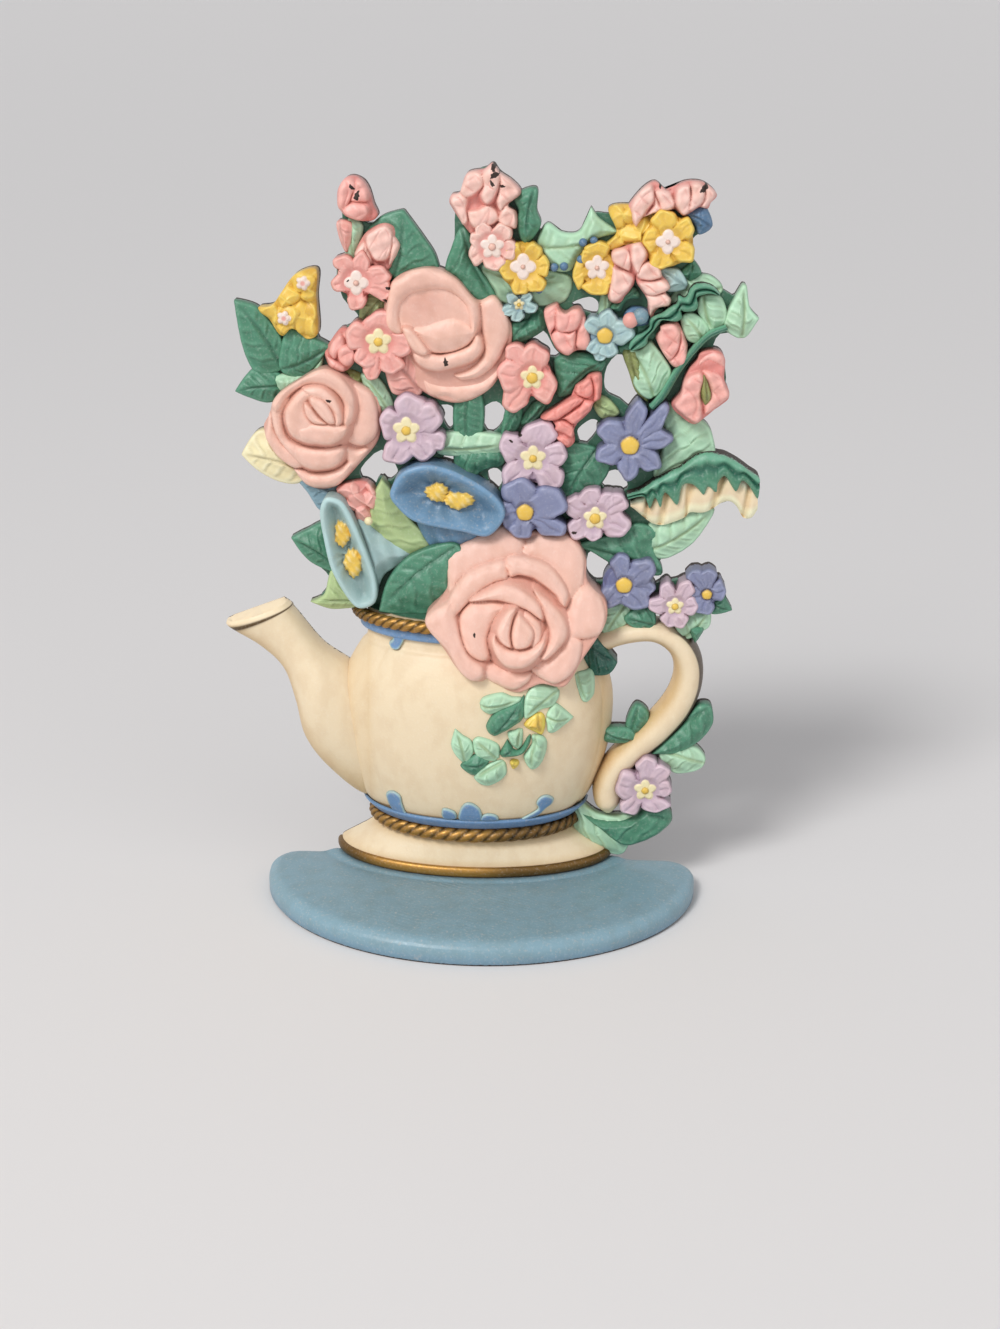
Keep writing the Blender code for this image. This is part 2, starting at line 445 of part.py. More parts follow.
def half_round(name, levels, extra=0.0, back=BACK, steps=20, lobes=0):
    """Return a solid of half-ellipse levels, such as the pot, with its flat side at the back."""
    loops = []
    for z, half, bulge in levels:
        loop = [(POT_X - half - extra, back, z)] if back > BACK else []
        for i in range(steps + 1):
            angle = math.pi * i / steps
            groove = LOBE_DEPTH * (1 - abs(math.sin(lobes * angle / 2))) if lobes else 0.0
            reach = 1 + (extra - groove) / half
            depth = 1 + (extra - groove) / bulge
            loop.append((POT_X - half * reach * math.cos(angle),
                         BACK - bulge * depth * math.sin(angle), z))
        if back > BACK:
            loop.append((POT_X + half + extra, back, z))
        loops.append(loop)
    return loops_to_object(name, loops)


def arched(name, stations, edge, back, sides=6, grown=0.0, dip=0.0):
    """Return a solid along stations of (edge point, edge point, crest), arched across."""
    loops = []
    for number, (upper, lower, crest) in enumerate(stations):
        top, bottom = Vector(upper), Vector(lower)
        middle, half = (top + bottom) / 2, (top - bottom) / 2
        half = half * (1 + grown / half.length)
        low = dip if number == len(stations) - 1 else 0.0
        loop = [(middle.x + half.x, back, middle.y + half.y)]
        for i in range(sides + 1):
            angle = math.pi * i / sides
            place = middle + half * math.cos(angle)
            height = edge + (crest + grown - edge) * math.sin(angle)
            loop.append((place.x, BACK - height, place.y - low * math.sin(angle)))
        loop.append((middle.x - half.x, back, middle.y - half.y))
        loops.append(loop)
    return loops_to_object(name, loops)


def sheet(name, outline, gaps, front, back):
    """Return a flat plate with gaps through it."""
    mesh = bmesh.new()
    borders = [[Vector((x, z, 0)) for x, z in border] for border in [outline] + gaps]
    triangles = tessellate_polygon(borders)
    for depth in (front, back):
        verts = [mesh.verts.new(Vector((p.x, depth, p.y)) * MM) for border in borders for p in border]
        for triangle in triangles:
            mesh.faces.new([verts[i] for i in triangle])
    mesh.verts.ensure_lookup_table()
    total = sum(len(border) for border in borders)
    start = 0
    for border in borders:
        for i in range(len(border)):
            a, b = start + i, start + (i + 1) % len(border)
            mesh.faces.new([mesh.verts[k] for k in (a, b, b + total, a + total)])
        start += len(border)
    bmesh.ops.recalc_face_normals(mesh, faces=mesh.faces[:])
    data = bpy.data.meshes.new(name)
    mesh.to_mesh(data)
    mesh.free()
    plate = bpy.data.objects.new(name, data)
    bpy.context.collection.objects.link(plate)
    return plate


def boxes_meet(one, other):
    """Say whether two objects' boxes share any space."""
    spans = []
    for solid in (one, other):
        points = [vertex.co for vertex in solid.data.vertices]
        spans.append([(min(p[k] for p in points), max(p[k] for p in points)) for k in range(3)])
    return all(a[0] < b[1] and b[0] < a[1] for a, b in zip(*spans))


def is_sound(data):
    """Say whether a mesh is one or more closed skins that face outwards."""
    mesh = bmesh.new()
    mesh.from_mesh(data)
    closed = all(len(edge.link_faces) == 2 for edge in mesh.edges)
    sound = closed and mesh.calc_volume(signed=True) > 0
    mesh.free()
    return sound


def combine(solid, others, operation="DIFFERENCE"):
    """Add the others to the solid, or take them away from it, for good."""
    near = [other for other in others if boxes_meet(solid, other)]
    for solver in ("EXACT", "MANIFOLD") if near else ():
        for other in near:
            other.hide_render = True
            other.display_type = "WIRE"
            step = solid.modifiers.new("step", "BOOLEAN")
            step.operation = operation
            step.solver = solver
            step.object = other
        graph = bpy.context.evaluated_depsgraph_get()
        result = bpy.data.meshes.new_from_object(solid.evaluated_get(graph))
        solid.modifiers.clear()
        if is_sound(result):
            break
    if near:
        solid.data = result


def keep_largest(solid):
    """Delete the loose crumbs that a cut has left beside the largest body."""
    mesh = bmesh.new()
    mesh.from_mesh(solid.data)
    bmesh.ops.remove_doubles(mesh, verts=mesh.verts[:], dist=2e-6)
    bmesh.ops.triangulate(mesh, faces=mesh.faces[:])
    bmesh.ops.dissolve_degenerate(mesh, edges=mesh.edges[:], dist=2e-6)
    seen = set()
    bodies = []
    for first in mesh.faces:
        if first in seen:
            continue
        body, queue = [], [first]
        seen.add(first)
        while queue:
            face = queue.pop()
            body.append(face)
            for edge in face.edges:
                for other in edge.link_faces:
                    if other not in seen:
                        seen.add(other)
                        queue.append(other)
        bodies.append(body)
    bodies.sort(key=len, reverse=True)
    crumbs = [face for body in bodies[1:] for face in body]
    bmesh.ops.delete(mesh, geom=crumbs, context="FACES")
    mesh.to_mesh(solid.data)
    mesh.free()


def finish(name, solid, paint):
    """Give the solid its node's name, its paint and its shading."""
    keep_largest(solid)
    solid.name = name
    data = solid.data
    data.materials.clear()
    data.materials.append(make_paint(paint))
    for polygon in data.polygons:
        polygon.material_index = 0
    data.shade_smooth()
    data.set_sharp_from_angle(angle=math.radians(35))
    solid.hide_render = False
    finished.append(solid)


def arc_band(name, z, half, bulge, radius, steps=22, sides=8):
    """Return a round band that runs around the pot at one height."""
    loops = []
    for i in range(steps + 1):
        angle = math.pi * i / steps
        middle = Vector((POT_X - half * math.cos(angle), BACK - bulge * math.sin(angle), z))
        out = Vector((-bulge * math.cos(angle), -half * math.sin(angle), 0)).normalized()
        if i in (0, steps):
            middle.y -= 0.05
            out = Vector((-math.cos(angle), 0, 0))
        loop = []
        for k in range(sides):
            turn = math.tau * k / sides
            loop.append(middle + out * radius * math.cos(turn) + Vector((0, 0, radius * math.sin(turn))))
        loops.append(loop)
    return loops_to_object(name, loops)


def base_outline(inset=0.0, arc=28, corner_steps=3):
    """Return the base's outline: half an ellipse and two rounded corners."""
    half = BASE_WIDTH / 2
    straight = BASE_DEPTH / 2 - BASE_CORNER
    reach = BASE_DEPTH - BASE_CORNER
    points = []
    for i in range(arc + 1):
        angle = math.pi * i / arc
        points.append(Vector((-half * math.cos(angle), straight - reach * math.sin(angle))))
    for side in (1, -1):
        corner = []
        for i in range(1, corner_steps + 1):
            angle = math.pi / 2 * i / (corner_steps + 1)
            corner.append(Vector((side * (half - BASE_CORNER + BASE_CORNER * math.cos(angle)),
                                  straight + BASE_CORNER * math.sin(angle))))
        corner.append(Vector((side * (half - BASE_CORNER), BASE_DEPTH / 2)))
        points += corner if side == 1 else corner[::-1]
    return grow(points, -inset) if inset else points


def make_base():
    """Make the base plate: a rounded lip that rises gently to a seat for the foot."""
    steps = [(1.2, 0.0), (0.0, 1.2), (0.0, 5.0), (1.8, 7.6), (5.5, BASE_RIM), (16.0, 10.2)]
    loops = [[(p.x, p.y, z) for p in base_outline(inset)] for inset, z in steps]
    base = loops_to_object("base_plate", loops)
    seat = half_round("seat", [(4.0, 60.0, 33.0), (10.0, 57.5, 31.0), (BASE_CROWN, 55.5, 29.2)])
    combine(base, [seat], "UNION")
    return base


def make_pot(handle):
    """Make the foot, the waist and the pot; return the pot's clearance and the rose's."""
    rose = prism("rose_clearance", grow(smooth_outline(LARGE_ROSE, 2), GAP), -5.0, BACK + 5.0)
    body = half_round("pot_core", BODY, lobes=LOBES, steps=POT_STEPS)
    leaves = [seat_on_pot("leaf", smooth_outline(points, 1), SPRIG_THICK) for points in SPRIG]
    combine(body, leaves, "UNION")
    low = [(z, half, bulge) for z, half, bulge in BODY if z < COLLAR_TOP]
    low.append((COLLAR_TOP - WALL, *BODY[-1][1:]))
    low[0] = (BODY_BOTTOM - 1.0, *BODY[0][1:])
    hollow = half_round("pot_hollow", low, extra=-WALL - LOBE_DEPTH, back=BACK + 2.0)
    combine(body, [rose, hollow, handle])
    finish("pot_body", body, "cream")

    foot = half_round("pot_foot", FOOT)
    through = [(FOOT_BOTTOM - 1.0, *FOOT[0][1:])] + FOOT[1:-1] + [(BODY_BOTTOM + 1.0, *FOOT[-1][1:])]
    combine(foot, [half_round("foot_hollow", through, extra=-WALL, back=BACK + 2.0)])
    finish("pot_foot", foot, "cream")

    gold = half_round("gold", GOLD_EDGE)
    inner = [(FOOT_BOTTOM - 1.0, *GOLD_INSIDE), (GOLD_TOP + 1.0, *GOLD_INSIDE)]
    combine(gold, [half_round("gold_hole", inner, back=BACK + 2.0)])
    finish("foot_gold_edge", gold, "gold")

    rope = arc_band("rope", *WAIST_ROPE)
    foot_clear = half_round("rope_hole", [(WAIST, 36.5, 23.1), (BODY_BOTTOM, 36.5, 23.1)], back=BACK + 2.0)
    combine(rope, [foot_clear])
    finish("waist_rope", rope, "gold")

    core = half_round("pot_clearance", BODY, extra=GAP, lobes=LOBES, steps=POT_STEPS, back=BACK + 2.0)
    skin = [level for level in BODY if level[0] < 39.0]
    skin[-1] = (TRIM_TOP, 44.2, 27.6)
    trim = half_round("trim", skin, extra=TRIM_THICK, steps=24)
    drops = [seat_on_pot("drop", petal_outline((x, z), radius, 2, 90, steps=6), 2.0)
             for x, z, radius in TRIM_LOBES]
    combine(trim, drops, "UNION")
    combine(trim, [core])
    finish("waist_trim", trim, "blue")
    return core, rose


def pot_depth(x, z):
    """Return the depth of the pot's front at a place seen from the front."""
    below = max((level for level in BODY if level[0] <= z), default=BODY[0])
    above = min((level for level in BODY if level[0] > z), default=BODY[-1])
    share = 0.0 if above[0] == below[0] else (z - below[0]) / (above[0] - below[0])
    half = below[1] + (above[1] - below[1]) * share
    bulge = below[2] + (above[2] - below[2]) * share
    return BACK - bulge * math.sqrt(max(0.0, 1 - ((x - POT_X) / half) ** 2))


def seat_on_pot(name, outline, thick):
    """Return a domed leaf whose front follows the pot's surface."""
    centre = sum(outline, Vector((0, 0))) / len(outline)
    loops = []
    for share, height in ((1.0, -3.5), (1.0, thick * 0.5), (0.0, thick)):
        spots = [centre] if share == 0 else [centre + (p - centre) * share for p in outline]
        loops.append([(p.x, min(pot_depth(p.x, p.y), BACK - 8.0) - height, p.y) for p in spots])
    return loops_to_object(name, loops)


def make_neck(core, rose):
    """Make the blue band and the gold rope around the pot's neck."""
    band = half_round("band", NECK_BAND, steps=28)
    x, z, radius = NECK_DROP
    combine(band, [seat_on_pot("drop", petal_outline((x, z), radius, 2, 90, steps=6), 2.0)], "UNION")
    combine(band, [core, rose])
    finish("neck_trim", band, "blue")
    rope = arc_band("rope", *NECK_ROPE)
    combine(rope, [rose])
    finish("neck_rope", rope, "gold")


def handle_stations(grown=0.0):
    """Return the handle's stations across its middle line."""
    curve = []
    for i in range(len(HANDLE) - 1):
        curve.append(HANDLE[i])
        if i < len(HANDLE) - 3:
            before, after = HANDLE[max(i - 1, 0)], HANDLE[i + 2]
            middle = [(9 * (a + b) - (p + q)) / 16 for a, b, p, q
                      in zip(HANDLE[i], HANDLE[i + 1], before, after)]
            curve.append(tuple(middle))
    curve.append(HANDLE[-1])
    stations = []
    for i, (x, z, half) in enumerate(curve):
        before, after = curve[max(i - 1, 0)], curve[min(i + 1, len(curve) - 1)]
        along = Vector((after[0] - before[0], after[1] - before[1])).normalized()
        across = Vector((-along.y, along.x)) * (half + grown)
        place = Vector((x, z))
        crest = HANDLE_BULGE * min(1.0, (half + 1.5) / 5.5)
        stations.append((place + across, place - across, crest))
    return stations


def foot_clearance():
    """Return the space of the foot, the waist's rope and the blue trim, a hair larger."""
    levels = [(FOOT_BOTTOM - 1, 55.8, 30.0), (GOLD_TOP + GAP, 55.8, 30.0), (18.5, 49.2, 27.3),
              (22.0, 43.4, 26.5), (WAIST, 43.2, 30.0), (BODY_BOTTOM, 43.2, 30.0),
              (TRIM_TOP + GAP, 47.4, 30.8)]
    return half_round("foot_clearance", levels, back=BACK + 1.0)


def make_spout(core):
    """Make the spout with its dipped mouth."""
    spout = arched("spout", SPOUT, 0.6, BACK, sides=10, dip=MOUTH_DIP)
    combine(spout, [core, foot_clearance()])
    finish("spout", spout, "cream")


def make_handle(core):
    """Make the handle with the leaves that join it, and the low flower over them."""
    handle = arched("handle", handle_stations(), 0.6, BACK, sides=8)
    leaves = [relief("leaf", smooth_outline(points), dome(crest)[::2], BACK - 0.5)
              for crest, points in HANDLE_LEAVES]
    combine(handle, leaves, "UNION")
    node, centre, radius, petals, turn, crest = LOW_FLOWER
    outline = petal_outline(centre, radius, petals, turn)
    flower = relief(node, outline, flower_rings(crest), BACK)
    foot = foot_clearance()
    corners = [Vector((x, z)) for x, z in ((-60, -5), (90, -5), (90, BASE_CROWN + GAP),
                                           (-60, BASE_CROWN + GAP))]
    floor = prism("crown_clearance", corners, -40.0, BACK + 2.0)
    combine(handle, [prism("flower_clearance", grow(outline, GAP), -30.0, BACK + 1.0), foot, floor])
    combine(handle, [core])
    combine(flower, [foot])
    finish("handle", handle, "cream")
    finish(node, flower, "lavender")


def dome(crest):
    """Return the rings of a plain dome, such as a leaf."""
    return [(1.0, crest - 2.6), (0.72, crest - 0.5), (0.0, crest)]


def flower_rings(crest):
    """Return the rings of an open flower: raised petals round a button."""
    return [(1.0, crest - 3.2), (0.7, crest - 0.6), (0.4, crest - 2.0), (0.28, crest - 0.4), (0.0, crest)]


def rose_rings(crest):
    """Return the rings of a rose: petals in four steps round a bud."""
    return [(1.0, crest - 8.0), (0.93, crest - 5.2), (0.74, crest - 7.2), (0.7, crest - 3.4),
            (0.52, crest - 5.4), (0.47, crest - 1.8), (0.3, crest - 3.8), (0.24, crest - 0.6),
            (0.0, crest)]


def rim_rings(crest):
    """Return the rings of a morning glory: a raised rim round a sunk throat."""
    return [(1.0, crest - 3.0), (0.9, crest), (0.72, crest - 0.8), (0.4, crest - 4.6), (0.0, crest - 5.6)]


def flowers():
    """Yield every flower, lowest first, as (node, outlines, solids)."""
    seat = BACK - WEB + 0.1
    for node, crest, stations in RIBBONS:
        border = [Vector(a) for a, b in stations] + [Vector(b) for a, b in stations[::-1]]
        yield node, [border], [arched(node, [(a, b, crest) for a, b in stations], crest - 3.0, seat,
                                      sides=4)]
    for node, crest, points in BLOSSOMS:
        outline = smooth_outline(points)
        yield node, [outline], [relief(node, outline, dome(crest), seat)]
    for node, centre, radius, petals, turn, crest in BLOOMS:
        outline = petal_outline(centre, radius, petals, turn)
        yield node, [outline], [relief(node, outline, flower_rings(crest), seat)]
    for node, crest, points in ROSES:
        outline = smooth_outline(points, 2)
        yield node, [outline], [relief(node, outline, rose_rings(crest), seat, roundness=1.0)]
    for node, crest, points, cup_crest, cup_points in RIMS:
        outline, cup = smooth_outline(points), smooth_outline(cup_points)
        yield node, [outline, cup], [relief(node, outline, rim_rings(crest), seat),
                                     relief(node, cup, dome(cup_crest), seat)]


def make_bouquet(core, rose, handle):
    """Make the flowers, each over those before it, and the leafy sheet behind them."""
    drawn = list(flowers())
    clear = [[prism("over", grow(outline, GAP), -30.0, BACK - WEB + 0.1 + GAP) for outline in outlines]
             for node, outlines, solids in drawn]
    for number, (node, outlines, solids) in enumerate(drawn):
        combine(solids[0], solids[1:], "UNION")
        above = [column for columns in clear[number + 1:] for column in columns]
        combine(solids[0], above + [rose])
        combine(solids[0], [core])
        finish(node, solids[0], paint_of(node))
    foliage = sheet("foliage", SHEET, SHEET_GAPS, BACK - WEB, BACK)
    leaves = [relief("leaf", smooth_outline(points), dome(crest)[::2], BACK - 1.0)
              for crest, points in LEAVES]
    combine(foliage, leaves, "UNION")
    pocket = prism("rose_pocket", grow(smooth_outline(LARGE_ROSE, 2), GAP), -30.0, BACK - WEB + 0.1 + GAP)
    pockets = [column for columns in clear for column in columns]
    combine(foliage, pockets + [pocket, handle])
    finish("foliage", foliage, "teal")


def paint_of(node):
    """Return the paint of a node from the colour that its name holds."""
    words = {"serrated": "teal", "stalk": "teal", "ribbon": "teal", "pale_": "pale_blue",
             "morning": "blue", "cream": "pale_yellow", "coral": "coral", "pink": "pink",
             "rose": "rose", "yellow": "yellow", "lavender": "lavender", "periwinkle": "periwinkle"}
    return next(paint for word, paint in words.items() if word in node)


def make_large_rose(core):
    """Make the hollow large rose over the pot's shoulder."""
    outline = smooth_outline(LARGE_ROSE, 2)
    edge = LARGE_ROSE_EDGE
    rings = [(1.0, edge), (0.93, edge + 2.8), (0.78, edge + 0.8), (0.73, edge + 5.0),
             (0.54, edge + 2.6), (0.48, edge + 7.2), (0.3, edge + 5.0), (0.24, edge + 8.8),
             (0.0, edge + 9.0)]
    solid = relief("rose_large", outline, rings, BACK - WEB + 0.1, LARGE_ROSE_LEAN, LARGE_ROSE_MIDDLE,
                   roundness=1.0)
    centre = sum(outline, Vector((0, 0))) / len(outline)
    inner = [centre + (p - centre) * 0.8 for p in outline]
    hollow = [(1.0, edge - 6.5), (0.7, edge - 3.5), (0.0, edge - 2.0)]
    cavity = relief("cavity", inner, hollow, BACK + 2.0, LARGE_ROSE_LEAN, LARGE_ROSE_MIDDLE)
    combine(solid, [cavity])
    finish("rose_large", solid, "rose")


def main():
    """Build the doorstop from the base up."""
    for old in list(bpy.data.objects):
        bpy.data.objects.remove(old)
    handle = arched("handle_clearance", handle_stations(GAP), 0.6, BACK + 1.0, sides=10, grown=GAP)
    finish("base_plate", make_base(), "blue")
    core, rose = make_pot(handle)
    make_neck(core, rose)
    make_spout(core)
    make_handle(core)
    make_bouquet(core, rose, handle)
    make_large_rose(core)
    for helper in list(bpy.data.objects):
        if helper not in finished:
            bpy.data.objects.remove(helper)


main()
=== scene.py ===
"""Painted cast iron doorstop: a lobed teapot full of flowers on a half-oval base.

Every size is in millimetres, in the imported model's frame: X to the right, Y to the
back, Z up, with the flat back of the casting at BACK. MM turns millimetres into metres. Heights of
flowers and leaves are counted forwards from the flat back.
"""
from __future__ import annotations

import logging
import math
from collections.abc import Callable
from dataclasses import dataclass
from enum import Enum

import bpy
import numpy as np
from mathutils import Matrix, Vector

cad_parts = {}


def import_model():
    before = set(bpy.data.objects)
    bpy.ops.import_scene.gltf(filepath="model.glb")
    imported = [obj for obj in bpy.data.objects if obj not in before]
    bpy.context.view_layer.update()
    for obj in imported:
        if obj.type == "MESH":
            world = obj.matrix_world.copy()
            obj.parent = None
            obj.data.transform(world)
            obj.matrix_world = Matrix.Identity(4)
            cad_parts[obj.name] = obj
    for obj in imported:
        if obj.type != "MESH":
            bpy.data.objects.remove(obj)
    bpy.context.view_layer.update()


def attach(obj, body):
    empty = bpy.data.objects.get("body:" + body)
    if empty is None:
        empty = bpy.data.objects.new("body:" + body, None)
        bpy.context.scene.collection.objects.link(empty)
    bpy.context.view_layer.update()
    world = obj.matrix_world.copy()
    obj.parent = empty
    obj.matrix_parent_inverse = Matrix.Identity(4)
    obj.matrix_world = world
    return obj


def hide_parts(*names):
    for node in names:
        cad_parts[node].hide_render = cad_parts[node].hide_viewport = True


log = logging.getLogger("doorstop")

MM = 0.001
BACK = 39.0
POT_X = -3.0
TOP = 277.2
LEFT = -98.6
RIGHT = 101.8

Point = tuple[float, ...]
Field = np.ndarray
Surface = Callable[[Field, Field], Field]
Skin = Callable[[Field, Field], tuple[Field, Field]]
Socket = bpy.types.NodeSocket


class Paint(Enum):
    """The enamels as they look in plain light, in sRGB from 0 to 255."""

    CREAM = (240, 220, 186)
    TAN = (214, 176, 116)
    BLUE = (122, 154, 168)
    GLORY_BLUE = (106, 144, 176)
    TRIM_BLUE = (112, 148, 190)
    DEEP_BLUE = (88, 122, 156)
    GOLD = (158, 118, 58)
    TEAL = (78, 134, 108)
    DARK_TEAL = (36, 92, 78)
    MINT = (172, 212, 180)
    OLIVE = (140, 150, 92)
    LIGHT_GREEN = (172, 194, 138)
    PINK = (238, 172, 162)
    PALE_PINK = (242, 196, 184)
    DEEP_PINK = (214, 118, 112)
    ROSE = (238, 192, 175)
    ROSE_SHADE = (216, 158, 142)
    CORAL = (230, 146, 136)
    LAVENDER = (208, 184, 196)
    LAVENDER_SHADE = (168, 142, 166)
    PERIWINKLE = (132, 138, 170)
    PERIWINKLE_SHADE = (102, 106, 148)
    YELLOW = (238, 198, 88)
    DEEP_YELLOW = (206, 156, 54)
    BUTTER = (242, 230, 184)
    STAR_PINK = (244, 226, 216)
    PALE_BLUE = (168, 198, 198)
    IRON = (58, 44, 38)

    def linear(self) -> np.ndarray:
        """Return the colour in linear light."""
        return (np.array(self.value) / 255.0) ** 2.2


class Slot(Enum):
    """The material slots that the pieces take their finish from."""

    GREEN = "green_enamel"
    BLUE = "blue_enamel"
    CREAM = "cream_enamel"
    GOLD = "gold_paint"
    CORAL = "coral_enamel"
    PALE_YELLOW = "pale_yellow_enamel"
    PALE_BLUE = "pale_blue_enamel"
    PINK = "pink_enamel"
    ROSE = "rose_enamel"
    YELLOW = "yellow_enamel"
    LAVENDER = "lavender_enamel"
    PERIWINKLE = "periwinkle_enamel"


@dataclass(frozen=True)
class Enamel:
    """Brushed enamel over cast iron, with its colour in the piece's paint attribute.

    The attribute's alpha says how bare the iron is there.
    """

    slot: Slot
    roughness: float = 0.44
    metal: float = 0.0
    grime: float = 0.45
    specks: float = 0.0
    relief: float = 0.35

    def material(self) -> bpy.types.Material:
        """Return the enamel's material, made on its first use.

        Returns:
            The material, with brush marks, grime and painted shade in the hollows, worn spots and fine
            relief.
        """
        found = bpy.data.materials.get(f"{self.slot.value}_brushed")
        if found:
            return found
        made = bpy.data.materials.new(f"{self.slot.value}_brushed")
        made.use_nodes = True
        nodes, links = made.node_tree.nodes, made.node_tree.links
        shader = nodes["Principled BSDF"]
        shader.inputs["Metallic"].default_value = self.metal

        def node(kind: str, **settings: object) -> bpy.types.Node:
            """Add a node.

            Args:
                kind: Its type.
                **settings: Its settings by name.

            Returns:
                The node.
            """
            new = nodes.new(kind)
            for key, value in settings.items():
                setattr(new, key, value)
            return new

        def noise(scale: float, detail: float, stretch: Point = (1.0, 1.0, 1.0)) -> Socket:
            """Add noise.

            Args:
                scale: How many turns it takes in a millimetre.
                detail: How fine it is.
                stretch: How much it is pressed together along each axis.

            Returns:
                The noise's value.
            """
            mapping = node("ShaderNodeMapping")
            mapping.inputs["Scale"].default_value = tuple(1000.0 * part for part in stretch)
            links.new(place.outputs["Object"], mapping.inputs["Vector"])
            grain = node("ShaderNodeTexNoise")
            grain.inputs["Scale"].default_value = scale
            grain.inputs["Detail"].default_value = detail
            links.new(mapping.outputs["Vector"], grain.inputs["Vector"])
            return grain.outputs["Fac"]

        def ramp(value: Socket, span: Point, result: Point = (0.0, 1.0)) -> Socket:
            """Turn a span of values smoothly into another.

            Args:
                value: The value to turn.
                span: The ends of its span.
                result: What they become.

            Returns:
                The new value.
            """
            step = node("ShaderNodeMapRange", interpolation_type="SMOOTHSTEP")
            for key, number in zip(("From Min", "From Max", "To Min", "To Max"), (*span, *result)):
                step.inputs[key].default_value = number
            links.new(value, step.inputs["Value"])
            return step.outputs["Result"]

        def math_node(kind: str, first: Socket, second: Socket | float) -> Socket:
            """Work out a value from two.

            Args:
                kind: The operation.
                first: The first value.
                second: The second value.

            Returns:
                The result.
            """
            step = node("ShaderNodeMath", operation=kind)
            links.new(first, step.inputs[0])
            if isinstance(second, float):
                step.inputs[1].default_value = second
            else:
                links.new(second, step.inputs[1])
            return step.outputs[0]

        def blend(kind: str, amount: Socket, under: Socket, over: Socket | Point) -> Socket:
            """Lay one colour over another.

            Args:
                kind: How they blend.
                amount: How much of the upper colour shows.
                under: The lower colour.
                over: The upper colour.

            Returns:
                The blended colour.
            """
            mix = node("ShaderNodeMix", data_type="RGBA", blend_type=kind)
            links.new(amount, mix.inputs["Factor"])
            links.new(under, mix.inputs[6])
            if isinstance(over, tuple):
                mix.inputs[7].default_value = over
            else:
                links.new(over, mix.inputs[7])
            return mix.outputs[2]

        place = node("ShaderNodeTexCoord")
        paint = node("ShaderNodeAttribute", attribute_name="paint")
        strokes = noise(0.16, 4.0, (1.0, 1.0, 0.7))
        grain = noise(1.1, 3.0)
        dabs = blend("MULTIPLY", ramp(strokes, (0.40, 0.66)), paint.outputs["Color"],
                     (0.95, 0.925, 0.90, 1.0))
        lights = blend("SCREEN", ramp(grain, (0.5, 0.75), (0.0, 0.10)), dabs, (0.9, 0.85, 0.8, 1.0))
        # Ambient occlusion darkens the hollows brown: grime, and also a painted shade in the creases.
        hollow = node("ShaderNodeAmbientOcclusion", samples=8)
        hollow.inputs["Distance"].default_value = 2.0 * MM
        dirt_and_shade = math_node("MULTIPLY", ramp(hollow.outputs["AO"], (0.20, 0.75), (1.0, 0.0)), self.grime)
        dirty_and_shaded = blend("MULTIPLY", dirt_and_shade, lights, (0.50, 0.34, 0.27, 1.0))
        if self.specks:
            dots = noise(0.9, 2.0)
            dust = math_node("MULTIPLY", ramp(dots, (0.58, 0.70)), self.specks)
            dirty_and_shaded = blend("MIX", dust, dirty_and_shaded, (0.62, 0.54, 0.45, 1.0))
        uneven = math_node("MULTIPLY", math_node("SUBTRACT", grain, 0.5), 0.9)
        chip = math_node("ADD", paint.outputs["Alpha"], uneven)
        bare = ramp(chip, (0.46, 0.56))
        colour = blend("MIX", bare, dirty_and_shaded, (*Paint.IRON.linear() * 0.7, 1.0))
        links.new(colour, shader.inputs["Base Color"])
        sheen = math_node("MULTIPLY", ramp(grain, (0.3, 0.7), (0.85, 1.2)), self.roughness)
        links.new(math_node("MAXIMUM", sheen, math_node("MULTIPLY", bare, 0.72)), shader.inputs["Roughness"])
        bump = node("ShaderNodeBump")
        bump.inputs["Strength"].default_value = self.relief
        bump.inputs["Distance"].default_value = 0.25 * MM
        links.new(math_node("SUBTRACT", math_node("ADD", grain, strokes), bare), bump.inputs["Height"])
        links.new(bump.outputs["Normal"], shader.inputs["Normal"])
        return made


ENAMELS = {enamel.slot: enamel for enamel in (
    Enamel(Slot.GREEN, 0.42), Enamel(Slot.BLUE, 0.40, specks=0.22), Enamel(Slot.CREAM, 0.46, grime=0.40),
    Enamel(Slot.GOLD, 0.40, metal=0.55, grime=0.9), Enamel(Slot.CORAL, 0.44),
    Enamel(Slot.PALE_YELLOW, 0.46), Enamel(Slot.PALE_BLUE, 0.42), Enamel(Slot.PINK, 0.44),
    Enamel(Slot.ROSE, 0.46), Enamel(Slot.YELLOW, 0.42), Enamel(Slot.LAVENDER, 0.42),
    Enamel(Slot.PERIWINKLE, 0.40))}

# The slot with each tone's finish, and the darker tone that paints shade in its hollows
SLOT_OF = {Paint[slot.name]: slot for slot in Slot if slot.name in Paint.__members__}
SLOT_OF |= {Paint.BUTTER: Slot.PALE_YELLOW, Paint.PALE_PINK: Slot.PINK, Paint.DEEP_BLUE: Slot.BLUE,
            Paint.GLORY_BLUE: Slot.BLUE}
SHADE_OF = {Paint.PINK: Paint.DEEP_PINK, Paint.YELLOW: Paint.DEEP_YELLOW, Paint.CORAL: Paint.DEEP_PINK,
            Paint.LAVENDER: Paint.LAVENDER_SHADE, Paint.PERIWINKLE: Paint.PERIWINKLE_SHADE,
            Paint.ROSE: Paint.ROSE_SHADE, Paint.PALE_PINK: Paint.DEEP_PINK}

